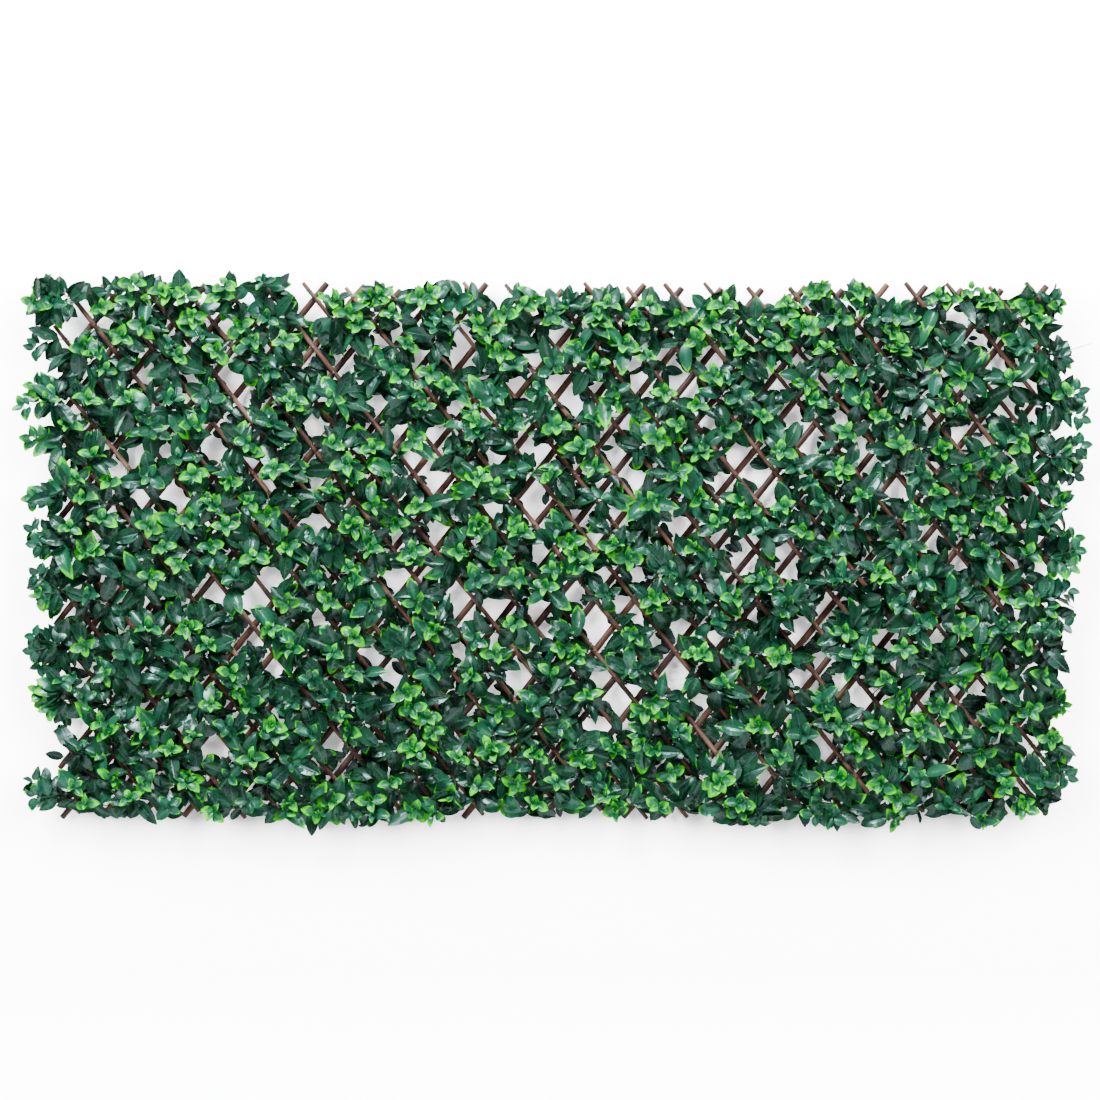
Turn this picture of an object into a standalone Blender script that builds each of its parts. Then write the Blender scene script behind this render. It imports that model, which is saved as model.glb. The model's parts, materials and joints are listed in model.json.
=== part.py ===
# Expandable hedge trellis: two layers of willow sticks, pivoted on nails where
# they cross, with a vine of plastic leaves tied along every front stick.
# Lengths are in metres. X runs along the trellis, +Z is up, the front faces -Y
# and the plane Y = 0 is the wall that the back sticks lie against.
# Each layer is modelled with every second stick of the real lattice.

import math
import random

import bmesh
import bpy
from mathutils import Matrix, Vector

# Lattice, as it is opened in the photo
STICK_PITCH = 0.1536
REST_ANGLE = math.radians(51.5)
LATTICE_WIDTH = 1.92
LATTICE_HEIGHT = 1.026
END_SHORTENING = 0.008

# Back sticks
BACK_DEPTH = 0.013
BACK_THICK_END = 0.0145
BACK_THIN_END = 0.0115
BACK_BOW = 0.002
BACK_SIDES = 8

# Front sticks
FRONT_DEPTH = 0.009
FRONT_THICK_END = 0.0105
FRONT_THIN_END = 0.0085
FRONT_BOW = 0.0012
FRONT_SIDES = 6

# Places of the two bends of a stick, along its length
BEND_SHARES = (0.36, 0.71)

# Nails, and the gap that moving or touching pieces keep
FIT_GAP = 0.0003
NAIL_RADIUS = 0.0011
NAIL_HEAD_RADIUS = 0.0025
NAIL_HEAD_THICKNESS = 0.0008
NAIL_SIDES = 6
NAIL_TAIL_RECESS = 0.0005
CUT_OVERRUN = 0.002

# Foliage: the outline that the tips of the vines reach, and the vine itself
FOLIAGE_WIDTH = 2.04
FOLIAGE_HEIGHT = 1.07
VINE_WIDTH = 0.0024
VINE_THICKNESS = 0.0022
NODE_LENGTH = 0.003
SIDE_SPRAY_OVERHANG = 0.03

# Stem of a spray
LOWER_STEM = 0.007
LEAF_NODE = 0.0026
UPPER_STEM = 0.021
STEM_RADIUS = 0.0014
STEM_LEAN = 0.008
ROSETTE_REACH = 0.028
BUD_LENGTH = 0.006

# Leaves
LARGE_LEAF_LENGTH = 0.058
LARGE_LEAF_WIDTH = 0.031
LARGE_LEAF_CUP = 0.004
SMALL_LEAF_LENGTH = 0.036
SMALL_LEAF_WIDTH = 0.021
SMALL_LEAF_CUP = 0.003
END_LEAF_LENGTH = 0.046
END_LEAF_WIDTH = 0.022
WIDEST_SHARE = 0.44
SMALLEST_LEAF_SHARE = 0.86
LARGE_TILT = (math.radians(14), math.radians(32))
SMALL_TILT = (math.radians(22), math.radians(50))
STEM_TWIST = math.radians(38)
SEED = 5

# Colours: red, green, blue and roughness
BACK_BARK = ((0.085, 0.036, 0.020), 0.72)
FRONT_BARK = ((0.180, 0.070, 0.036), 0.60)
LEAF_GREEN = ((0.020, 0.105, 0.030), 0.38)
NAIL_STEEL = ((0.420, 0.410, 0.390), 0.35)
SHADE_SHARES = (0.85, 1.15)
SHARP_ANGLE = math.radians(65)

half_pitch = STICK_PITCH / 2
half_row = half_pitch * math.tan(REST_ANGLE)
front_rear_face = BACK_DEPTH + FIT_GAP
front_face = front_rear_face + FRONT_DEPTH
vine_rear = front_face + FIT_GAP
vine_side = NAIL_HEAD_RADIUS + FIT_GAP + VINE_WIDTH / 2
forward = Vector((0, -1, 0))


def clear_scene():
    for obj in list(bpy.data.objects):
        bpy.data.objects.remove(obj)


# Crossings. Back stick i and front stick j cross at column i + j and row j - i.


def crossing_point(back, front):
    return Vector(((back + front) * half_pitch, 0, (front - back) * half_row))


def is_inside(point, width, height):
    return abs(point.x) <= width / 2 and abs(point.z) <= height / 2


def find_crossings():
    reach = int(LATTICE_WIDTH / half_pitch + LATTICE_HEIGHT / half_row)
    steps = range(-reach, reach + 1)
    return [
        (back, front)
        for back in steps
        for front in steps
        if is_inside(crossing_point(back, front), LATTICE_WIDTH, LATTICE_HEIGHT)
    ]


def stick_frame(layer):
    # X runs along the stick, Y through the lattice and Z across the stick.
    angle = -REST_ANGLE if layer == "back" else REST_ANGLE
    return Matrix.Rotation(angle, 4, "Y")


def stick_line(layer, index):
    point = crossing_point(index, 0) if layer == "back" else crossing_point(0, index)
    return point, stick_frame(layer) @ Vector((1, 0, 0))


def clip_to_panel(point, direction, width, height):
    # How far the line runs each way from the point before it leaves the panel.
    spans = []
    for start, step, half in ((point.x, direction.x, width / 2), (point.z, direction.z, height / 2)):
        spans.append(sorted(((-half - start) / step, (half - start) / step)))
    return max(span[0] for span in spans), min(span[1] for span in spans)


def along_stick(layer, index, crossing):
    point, direction = stick_line(layer, index)
    return (crossing_point(*crossing) - point).dot(direction)


def hang_sticks(crossings):
    # Each stick turns on the nearest stick of the other layer that leads to the centre nail.
    hung = {("back", 0): (None, (0, 0)), ("front", 0): (None, (0, 0))}
    sticks = {("back", back) for back, _ in crossings} | {("front", front) for _, front in crossings}
    while len(hung) < len(sticks):
        found = {}
        for layer, index in sorted(sticks - set(hung)):
            point, direction = stick_line(layer, index)
            middle = sum(clip_to_panel(point, direction, LATTICE_WIDTH, LATTICE_HEIGHT)) / 2
            choices = []
            for back, front in crossings:
                own, other = (back, front) if layer == "back" else (front, back)
                carrier = ("front" if layer == "back" else "back", other)
                if own == index and carrier in hung:
                    off_middle = abs(along_stick(layer, index, (back, front)) - middle)
                    choices.append((other != 0, round(off_middle / half_pitch, 3), abs(other), carrier, (back, front)))
            if choices:
                found[(layer, index)] = min(choices)[3:]
        hung.update(found)
    return hung


# Building blocks


def extrude(bm, face):
    return bmesh.ops.extrude_discrete_faces(bm, faces=[face])["faces"][0]


def side_faces(face):
    sides = [other for edge in face.edges for other in edge.link_faces if other is not face]
    for side in sides:
        side.normal_update()
    return sides


def finish_mesh(bm, name):
    bmesh.ops.holes_fill(bm, edges=bm.edges)
    bmesh.ops.recalc_face_normals(bm, faces=bm.faces)
    if bm.calc_volume(signed=True) < 0:
        bmesh.ops.reverse_faces(bm, faces=bm.faces)
    mesh = bpy.data.meshes.new(name)
    bm.to_mesh(mesh)
    bm.free()
    return mesh


def add_object(name, mesh, matrix, colour=None, metallic=0):
    obj = bpy.data.objects.new(name, mesh)
    obj.matrix_world = matrix
    bpy.context.scene.collection.objects.link(obj)
    if colour is None:
        obj.hide_render = True
        obj.display_type = "WIRE"
        return obj
    material = bpy.data.materials.new(name)
    material.use_nodes = True
    shader = material.node_tree.nodes["Principled BSDF"]
    shader.inputs["Base Color"].default_value = (*colour[0], 1)
    shader.inputs["Roughness"].default_value = colour[1]
    shader.inputs["Metallic"].default_value = metallic
    mesh.materials.append(material)
    mesh.shade_smooth()
    mesh.set_sharp_from_angle(angle=SHARP_ANGLE)
    return obj


def add_boolean(obj, helper, operation):
    modifier = obj.modifiers.new(helper.name, "BOOLEAN")
    modifier.operation = operation
    modifier.solver = "EXACT"
    modifier.object = helper


def vary_shade(colour, dice):
    share = dice.uniform(*SHADE_SHARES)
    return tuple(channel * share for channel in colour[0]), colour[1]


# Sticks


def stick_ring(sides, near_y, depth, width, place, bow):
    # One cut of a stick, with a flat to the wall and a flat to the front.
    turn = Matrix.Rotation(math.pi / 2, 4, "Y") @ Matrix.Rotation(math.pi / sides, 4, "Z")
    radius = depth / 2 / math.cos(math.pi / sides)
    centre = Matrix.Translation((place, -near_y - depth / 2, bow))
    scale = Matrix.Diagonal((1, 1, width / depth, 1))
    return centre @ scale @ turn, radius


def build_stick_mesh(name, sides, near_y, depth, ends, widths, bows):
    start, stop = ends
    bm = bmesh.new()
    matrix, radius = stick_ring(sides, near_y, depth, widths[0], start, 0)
    circle = bmesh.ops.create_circle(bm, segments=sides, radius=radius, cap_ends=True, matrix=matrix)
    face = circle["verts"][0].link_faces[0]
    last = matrix
    for share, bow in zip((*BEND_SHARES, 1), (*bows, 0)):
        width = widths[0] + (widths[1] - widths[0]) * share
        matrix, radius = stick_ring(sides, near_y, depth, width, start + (stop - start) * share, bow)
        face = extrude(bm, face)
        bmesh.ops.transform(bm, matrix=matrix @ last.inverted(), verts=face.verts)
        last = matrix
    return finish_mesh(bm, name)


def build_nails_mesh(name, points, tail):
    # Each nail runs from its tail forward through the front stick and ends in a flat head.
    head = front_face + FIT_GAP
    bm = bmesh.new()
    for point in points:
        turn = Matrix.Translation((point.x, -tail, point.z)) @ Matrix.Rotation(math.pi / 2, 4, "X")
        circle = bmesh.ops.create_circle(bm, segments=NAIL_SIDES, radius=NAIL_RADIUS, cap_ends=True, matrix=turn)
        face = circle["verts"][0].link_faces[0]
        for depth, radius in (
            (head, NAIL_RADIUS),
            (head, NAIL_HEAD_RADIUS),
            (head + NAIL_HEAD_THICKNESS, NAIL_HEAD_RADIUS),
        ):
            face = extrude(bm, face)
            for vert in face.verts:
                offset = Vector((vert.co.x - point.x, 0, vert.co.z - point.z)).normalized() * radius
                vert.co = Vector((point.x, -depth, point.z)) + offset
    return finish_mesh(bm, name)


def build_holes_mesh(name, points, near, far):
    radius = (NAIL_RADIUS + FIT_GAP) / math.cos(math.pi / NAIL_SIDES)
    length = far - near + 2 * CUT_OVERRUN
    bm = bmesh.new()
    for point in points:
        centre = Matrix.Translation((point.x, -(near + far) / 2, point.z))
        bmesh.ops.create_cone(
            bm,
            cap_ends=True,
            segments=NAIL_SIDES,
            radius1=radius,
            radius2=radius,
            depth=length,
            matrix=centre @ Matrix.Rotation(math.pi / 2, 4, "X"),
        )
    return finish_mesh(bm, name)


# Foliage


def grow_leaf(bm, face, tilt, length, width, cup):
    # A blade folded along its midrib: raised edges left and right, thin out to the tip.
    outward = Vector((face.normal.x, 0, face.normal.z)).normalized()
    base = face.calc_center_median()
    run = outward * math.cos(tilt) + forward * math.sin(tilt)
    up = forward * math.cos(tilt) - outward * math.sin(tilt)
    across = run.cross(up)

    def turn_of(vert):
        offset = vert.co - base
        return math.atan2(offset.dot(up), offset.dot(across)) % (2 * math.pi)

    upper_right, upper_left, lower_left, lower_right = sorted(face.verts, key=turn_of)
    bm.faces.remove(face)
    middle = base + run * length * WIDEST_SHARE + up * cup
    left = bm.verts.new(middle - across * width / 2)
    right = bm.verts.new(middle + across * width / 2)
    tip = bm.verts.new(base + run * length)
    for corners in (
        (upper_right, upper_left, tip),
        (upper_left, left, tip),
        (right, upper_right, tip),
        (lower_left, lower_right, tip),
        (left, lower_left, tip),
        (lower_right, right, tip),
        (upper_left, lower_left, left),
        (lower_right, upper_right, right),
    ):
        bm.faces.new(corners)


def grow_stem(bm, face, centre, twist):
    face = extrude(bm, face)
    middle = face.calc_center_median()
    for vert in face.verts:
        offset = vert.co - middle
        angle = math.atan2(offset.z, offset.x) + twist
        vert.co = centre + Vector((math.cos(angle), 0, math.sin(angle))) * STEM_RADIUS
    return face


def grow_spray(bm, face, dice, lean_side):
    # The stem leans over to one side of the stick and ends in four small leaves round a bud.
    # Low down it has a large leaf to the other side and another along the stick.
    foot = face.calc_center_median()
    lean = Vector((dice.uniform(-1, 1), 0, dice.uniform(-1, 1))) * STEM_LEAN
    lean.z += lean_side * ROSETTE_REACH
    twist = dice.uniform(-1, 1) * STEM_TWIST
    low = foot + forward * LOWER_STEM
    face = grow_stem(bm, face, low, 0)
    lower_sides = side_faces(face)
    top = low + forward * UPPER_STEM + lean
    face = grow_stem(bm, face, top, twist)
    face = grow_stem(bm, face, top + forward * LEAF_NODE, 0)
    upper_sides = side_faces(face)
    bud = bmesh.ops.poke(bm, faces=[face])["verts"][0]
    bud.co = top + forward * (LEAF_NODE + BUD_LENGTH)
    lower_sides.sort(key=lambda side: side.normal.z * lean_side)
    for side in (lower_sides[0], dice.choice(lower_sides[1:3])):
        size = dice.uniform(SMALLEST_LEAF_SHARE, 1)
        grow_leaf(
            bm,
            side,
            dice.uniform(*LARGE_TILT),
            LARGE_LEAF_LENGTH * size,
            LARGE_LEAF_WIDTH * size,
            LARGE_LEAF_CUP,
        )
    for side in upper_sides:
        size = dice.uniform(SMALLEST_LEAF_SHARE, 1)
        grow_leaf(
            bm,
            side,
            dice.uniform(*SMALL_TILT),
            SMALL_LEAF_LENGTH * size,
            SMALL_LEAF_WIDTH * size,
            SMALL_LEAF_CUP,
        )


def grow_end_leaf(bm, face, direction):
    # The last leaf of a vine grows from its cut end, along the stick.
    base = face.calc_center_median()
    face = extrude(bm, face)
    rear = max(face.verts, key=lambda vert: vert.co.y)
    middle = base + Vector((direction, 0, 0)) * END_LEAF_LENGTH * WIDEST_SHARE
    for vert in face.verts:
        if vert is rear:
            vert.co = middle
        else:
            side = math.copysign(END_LEAF_WIDTH / 2, vert.co.z - base.z)
            vert.co = middle + Vector((0, -LARGE_LEAF_CUP, side))
    tip = bmesh.ops.poke(bm, faces=[face])["verts"][0]
    tip.co = base + Vector((direction, 0, 0)) * END_LEAF_LENGTH


def build_vine_mesh(name, places, ends, dice):
    # A three-sided vine runs from end to end; at each place its front face puts out a spray,
    # which leans to the side given with the place.
    start, stop = ends

    def ring_at(place):
        rear = -vine_rear
        return (
            Vector((place, rear, vine_side)),
            Vector((place, rear - VINE_THICKNESS, vine_side + VINE_WIDTH / 2)),
            Vector((place, rear - VINE_THICKNESS, vine_side - VINE_WIDTH / 2)),
        )

    cuts = []
    for place, lean_side in places:
        cuts.append((place - NODE_LENGTH / 2, 0))
        cuts.append((place + NODE_LENGTH / 2, lean_side))
    cuts.append((stop, 0))

    bm = bmesh.new()
    face = bm.faces.new([bm.verts.new(point) for point in ring_at(start)])
    nodes = []
    for place, lean_side in cuts:
        face = extrude(bm, face)
        for vert, point in zip(face.verts, ring_at(place)):
            vert.co = point
        if lean_side:
            front_side = min(side_faces(face), key=lambda side: side.calc_center_median().y)
            nodes.append((front_side, lean_side))
    open_end = [edge for edge in bm.edges if edge.is_boundary]
    first_face = bmesh.ops.holes_fill(bm, edges=open_end)["faces"][0]
    for node, lean_side in nodes:
        grow_spray(bm, node, dice, lean_side)
    grow_end_leaf(bm, first_face, -1)
    grow_end_leaf(bm, face, 1)
    return finish_mesh(bm, name)


# Assembly


def place_name(index):
    # Sticks are counted outwards from the middle one of their layer.
    if index == 0:
        return "middle"
    return f"left_{-index}" if index < 0 else f"right_{index}"


def build_stick(layer, index, hung, dice):
    point, direction = stick_line(layer, index)
    start, stop = clip_to_panel(point, direction, LATTICE_WIDTH, LATTICE_HEIGHT)
    start += dice.uniform(0, END_SHORTENING)
    stop -= dice.uniform(0, END_SHORTENING)
    origin = along_stick(layer, index, hung[(layer, index)][1])
    matrix = Matrix.Translation(crossing_point(*hung[(layer, index)][1])) @ stick_frame(layer)
    name = f"{layer}_stick_{place_name(index)}"
    if layer == "back":
        sides, near_y, depth, bow = BACK_SIDES, 0, BACK_DEPTH, BACK_BOW
        widths, bark = [BACK_THICK_END, BACK_THIN_END], BACK_BARK
    else:
        sides, near_y, depth, bow = FRONT_SIDES, front_rear_face, FRONT_DEPTH, FRONT_BOW
        widths, bark = [FRONT_THICK_END, FRONT_THIN_END], FRONT_BARK
    dice.shuffle(widths)
    bows = [dice.uniform(-bow, bow) for _ in BEND_SHARES]
    mesh = build_stick_mesh(name, sides, near_y, depth, (start - origin, stop - origin), widths, bows)
    return add_object(name, mesh, matrix, vary_shade(bark, dice))


def build_vine(index, hung, crossings, dice):
    point, direction = stick_line("front", index)
    start, stop = clip_to_panel(point, direction, FOLIAGE_WIDTH, FOLIAGE_HEIGHT)
    stick_start, stick_stop = clip_to_panel(point, direction, LATTICE_WIDTH, LATTICE_HEIGHT)
    origin = along_stick("front", index, hung[("front", index)][1])
    start += END_LEAF_LENGTH - origin
    stop -= END_LEAF_LENGTH + origin
    places = sorted(
        (along_stick("front", index, (back, front)) - origin, 1 if back % 2 else -1)
        for back, front in crossings
        if front == index
    )
    # a spray past the stick's end leans back towards the panel
    if stick_start - origin - start > SIDE_SPRAY_OVERHANG:
        places.insert(0, (start + NODE_LENGTH, 1))
    if stop - (stick_stop - origin) > SIDE_SPRAY_OVERHANG:
        places.append((stop - NODE_LENGTH, -1))
    low, high = start + NODE_LENGTH / 2, stop - NODE_LENGTH / 2
    places = [(place, lean_side) for place, lean_side in places if low < place < high]
    matrix = Matrix.Translation(crossing_point(*hung[("front", index)][1])) @ stick_frame("front")
    name = f"leaf_vine_{place_name(index)}"
    mesh = build_vine_mesh(name, places, (start, stop), dice)
    return add_object(name, mesh, matrix, vary_shade(LEAF_GREEN, dice))


def build_trellis():
    dice = random.Random(SEED)
    crossings = find_crossings()
    hung = hang_sticks(crossings)
    sticks = {key: build_stick(*key, hung, dice) for key in sorted(hung)}
    pivots = {key: crossing for key, (carrier, crossing) in hung.items() if carrier}

    for (layer, index), stick in sticks.items():
        points = []
        for (kind, own), crossing in pivots.items():
            back, front = crossing
            if (layer, index) in (("back", back), ("front", front)):
                points.append(crossing_point(back, front))
        if layer == "back" and points:
            nails = build_nails_mesh(f"nails_of_{stick.name}", points, BACK_DEPTH / 2)
            helper = add_object(nails.name, nails, Matrix())
            add_boolean(stick, helper, "UNION")
        if layer == "front" or index == 0:
            near, far = (0, BACK_DEPTH) if layer == "back" else (front_rear_face, front_face)
            bored = [crossing_point(0, 0)] if layer == "back" else points
            if layer == "front" and index == 0:
                bored = [*points, crossing_point(0, 0)]
            holes = build_holes_mesh(f"holes_of_{stick.name}", bored, near, far)
            helper = add_object(holes.name, holes, Matrix())
            add_boolean(stick, helper, "DIFFERENCE")

    for layer, index in sorted(hung):
        if layer == "front":
            build_vine(index, hung, crossings, dice)

    pin = build_nails_mesh("centre_pin", [crossing_point(0, 0)], NAIL_TAIL_RECESS)
    add_object("centre_pin", pin, Matrix(), NAIL_STEEL, metallic=1)


clear_scene()
build_trellis()
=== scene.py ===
import json
import math

import bpy
import numpy as np
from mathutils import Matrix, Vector


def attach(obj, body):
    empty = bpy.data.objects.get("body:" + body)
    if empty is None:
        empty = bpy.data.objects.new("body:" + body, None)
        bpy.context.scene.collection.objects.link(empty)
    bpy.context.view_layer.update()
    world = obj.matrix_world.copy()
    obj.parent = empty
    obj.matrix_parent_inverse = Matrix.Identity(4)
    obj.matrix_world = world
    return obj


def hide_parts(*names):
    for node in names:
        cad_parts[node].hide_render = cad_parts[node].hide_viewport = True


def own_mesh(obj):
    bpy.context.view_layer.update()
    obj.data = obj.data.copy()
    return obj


# An expandable willow trellis. Two layers of round sticks are nailed where they cross, and leaf sprays are
# wired to the front layer. X runs along the hedge, Z is up, and the wall is at Y = 0.
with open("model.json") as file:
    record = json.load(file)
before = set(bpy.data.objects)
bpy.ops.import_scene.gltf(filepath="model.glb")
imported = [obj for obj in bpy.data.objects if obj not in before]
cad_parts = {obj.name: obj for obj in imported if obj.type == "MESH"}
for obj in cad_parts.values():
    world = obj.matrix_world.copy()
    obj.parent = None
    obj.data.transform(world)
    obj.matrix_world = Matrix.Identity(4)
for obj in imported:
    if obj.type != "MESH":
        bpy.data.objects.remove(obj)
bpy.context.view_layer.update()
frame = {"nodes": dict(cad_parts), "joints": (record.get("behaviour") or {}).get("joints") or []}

# Where a pixel of the photograph lies on the trellis
photoFit = {"pixels": 1100, "middleX": 555, "middleY": 550, "metresPerPixel": 0.0019}


def fromPhoto(places):
    # x and z in metres = the pixel's distance from the trellis's middle, times the scale, with z upwards
    places = np.asarray(places, float)
    x = (places[..., 0] - photoFit["middleX"]) * photoFit["metresPerPixel"]
    z = (photoFit["middleY"] - places[..., 1]) * photoFit["metresPerPixel"]
    return np.stack([x, z], -1)


# The lattice. From one CAD crossing to the next is half a pitch along and half a row up or down, and these
# two are measured on the frame.
pivot = next(j for j in frame["joints"] if j["name"] == "back_right_1_pivot")
lattice = {
    "halfPitch": abs(pivot["pos_m"][0]),
    "halfRow": abs(pivot["pos_m"][2]),
    "halfWidth": 0.96,
    "halfHeight": 0.513,
    "lastStick": 8,
    "backMiddle": -0.0066,
    "frontMiddle": -0.0179,
    "leafPlane": -0.0246,  # nothing green of the front sticks comes nearer to the wall than this
    "leafFront": -0.084,
}
slope = math.atan2(lattice["halfRow"], lattice["halfPitch"])
wholeNumbers = range(-lattice["lastStick"], lattice["lastStick"] + 1)
stickNumbers = np.arange(wholeNumbers[0] - 0.5, wholeNumbers[-1] + 1, 0.5)
rise = {
    "back": np.array([math.cos(slope), 0, math.sin(slope)]),
    "front": np.array([math.cos(slope), 0, -math.sin(slope)]),
}


def wholeNumber(number):
    # An in-between stick goes with the even-numbered stick beside it. The closed lattice has a third of this
    # pitch, and there the two in-between sticks beside an odd stick have changed places.
    whole = math.floor(number)
    return int(whole + 1 if whole % 2 and whole != number else whole)


def placeName(number):
    return "middle" if number == 0 else f"{'left' if number < 0 else 'right'}_{abs(number)}"


def stickName(number):
    # an in-between stick is named after the whole-numbered one that carries it
    carrier = wholeNumber(number)
    return placeName(carrier) + ("" if number == carrier else "_before" if number < carrier else "_after")


def crossing(back, front):
    # the point where a back and a front stick cross: their numbers added go along x, and subtracted go up z
    return np.array([(back + front) * lattice["halfPitch"], (front - back) * lattice["halfRow"]])


def stickEnds(layer, number, trims):
    # the stick's line through its middle crossing, cut where it leaves the panel, less a trim at each end
    side = 1 if layer == "front" else -1
    start = np.array([number * lattice["halfPitch"], 0, side * number * lattice["halfRow"]])
    along = rise[layer]
    limits = np.array([lattice["halfWidth"], lattice["halfHeight"]])
    span = np.stack([(-limits - start[[0, 2]]) / along[[0, 2]], (limits - start[[0, 2]]) / along[[0, 2]]])
    low, high = span.min(0).max(), span.max(0).min()
    return start, low + trims[0], high - trims[1]


def total(rows):
    return sum(map(len, rows.values()))


def within(limits):
    # a random number between two limits, from the generator in use
    return chance.uniform(*limits)


def unit(vector):
    return vector / np.linalg.norm(vector)


def foldTowards(piece):
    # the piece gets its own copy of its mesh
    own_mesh(piece)


# Mesh making


def skinRings(rings, first, last, along, acrossFrom, acrossTo):
    # Closed bodies: each ring of points is joined to the next one side by side, and a fan to one point closes
    # each end. rings is bodies x rings x sides x 3. along is bodies x (rings + 2): the u of every ring, with
    # that of the two end points before and after.
    count, lengths, sides = rings.shape[:3]
    size = lengths * sides + 2
    points = np.concatenate([rings.reshape(count, -1, 3), first[:, None], last[:, None]], 1).reshape(-1, 3)
    base = np.arange(count)[:, None, None] * size
    ring, side = np.arange(lengths - 1)[None, :, None], np.arange(sides)[None, None, :]
    following = (side + 1) % sides
    corner = base + ring * sides + side
    beside = base + ring * sides + following
    quads = np.stack([corner, corner + sides, beside + sides, beside], -1).reshape(-1, 4)
    u, uNext = along[:, 1:-2, None], along[:, 2:-1, None]
    around = ((u, acrossFrom), (uNext, acrossFrom), (uNext, acrossTo), (u, acrossTo))
    quadUv = np.stack([[np.broadcast_to(value, corner.shape) for value in pair] for pair in around])
    quadUv = np.moveaxis(quadUv, (0, 1), (-2, -1)).reshape(-1, 4, 2)
    flat, flatNext = side[:, 0] + base[:, 0], following[:, 0] + base[:, 0]
    lastRing = (lengths - 1) * sides
    tip = np.broadcast_to(base[:, 0] + size - 2, flat.shape)
    startFan = np.stack([tip, flat, flatNext], -1)
    endFan = np.stack([tip + 1, flatNext + lastRing, flat + lastRing], -1)
    half = (acrossFrom + acrossTo) / 2
    fanUv = []
    for end, near, order in ((0, 1, (half, acrossFrom, acrossTo)), (-1, -2, (half, acrossTo, acrossFrom))):
        uEnd = np.stack([np.repeat(along[:, k, None], sides, 1) for k in (end, near, near)], -1)
        vEnd = np.broadcast_to(np.stack(order, -1), uEnd.shape)
        fanUv.append(np.stack([uEnd, vEnd], -1))
    return {
        "points": points,
        "quads": quads,
        "quadUv": quadUv,
        "quadSide": np.broadcast_to(side, corner.shape).ravel(),
        "fans": np.stack([startFan, endFan], 1).reshape(-1, 3),
        "fanUv": np.stack(fanUv, 1).reshape(-1, 3, 2),
        "fanSide": np.broadcast_to(side, (count, 2, sides)).ravel(),
        "pointsEach": size,
    }


def tubeRings(paths, radii, sides):
    # A circle carried along each path. At each point it lies across the path and has that point's radius.
    step = np.gradient(paths, axis=1)
    step /= np.linalg.norm(step, axis=-1, keepdims=True)
    chord = paths[:, -1] - paths[:, 0]
    helper = np.eye(3)[np.abs(chord).argmin(-1)]
    sideways = np.cross(step, helper[:, None])
    sideways /= np.linalg.norm(sideways, axis=-1, keepdims=True)
    upwards = np.cross(step, sideways)
    turn = np.arange(sides) / sides * 2 * np.pi
    ring = np.cos(turn)[:, None] * sideways[:, :, None] + np.sin(turn)[:, None] * upwards[:, :, None]
    return paths[:, :, None] + radii[:, :, None, None] * ring


endDome = 0.12  # how far the middle of a tube's end stands proud, in radii


def tubeSkin(paths, radii, sides):
    # closed tubes: u is the way along the path in metres, and each end is slightly domed
    steps = np.linalg.norm(np.diff(paths, axis=1), axis=-1)
    along = np.concatenate([np.zeros((len(paths), 1)), np.cumsum(steps, 1)], 1)
    along = np.concatenate([along[:, :1], along, along[:, -1:]], 1)
    start, end = paths[:, 0] - paths[:, 1], paths[:, -1] - paths[:, -2]
    start *= endDome * radii[:, :1] / np.linalg.norm(start, axis=-1, keepdims=True)
    end *= endDome * radii[:, -1:] / np.linalg.norm(end, axis=-1, keepdims=True)
    v = np.arange(sides) / sides
    rings = tubeRings(paths, radii, sides)
    return skinRings(rings, paths[:, 0] + start, paths[:, -1] + end, along, v, v + 1 / sides)


def makePiece(name, skin, materials, quadSlots=None, fanSlots=None, marks=None, sharp=None):
    # puts the arrays of one or more skins into a mesh object that stands at the origin
    mesh = bpy.data.meshes.new(name)
    corners = np.concatenate([skin["quads"].ravel(), skin["fans"].ravel()]).astype(np.int32)
    sizes = np.concatenate([np.full(len(skin["quads"]), 4), np.full(len(skin["fans"]), 3)])
    starts = np.concatenate([[0], np.cumsum(sizes)[:-1]])
    mesh.vertices.add(len(skin["points"]))
    mesh.vertices.foreach_set("co", skin["points"].astype(np.float32).ravel())
    mesh.loops.add(len(corners))
    mesh.loops.foreach_set("vertex_index", corners)
    mesh.polygons.add(len(sizes))
    mesh.polygons.foreach_set("loop_start", starts.astype(np.int32))
    mesh.polygons.foreach_set("use_smooth", np.ones(len(sizes), bool))
    if quadSlots is not None:
        slots = np.concatenate([quadSlots, fanSlots])
        mesh.polygons.foreach_set("material_index", slots.astype(np.int32))
    mesh.update(calc_edges=True)
    uv = np.concatenate([skin["quadUv"].ravel(), skin["fanUv"].ravel()])
    mesh.uv_layers.new(name="UVMap").data.foreach_set("uv", uv.astype(np.float32))
    for mark, values in (marks or {}).items():
        mesh.attributes.new(mark, "FLOAT", "POINT").data.foreach_set("value", values.astype(np.float32))
    if sharp is not None:
        ends = np.empty(len(mesh.edges) * 2, np.int32)
        mesh.edges.foreach_get("vertices", ends)
        mesh.edges.foreach_set("use_edge_sharp", sharp[ends.reshape(-1, 2)].all(1))
    for material in materials:
        mesh.materials.append(material)
    mesh.validate()
    piece = bpy.data.objects.new(name, mesh)
    bpy.context.collection.objects.link(piece)
    return piece


# Materials


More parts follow.
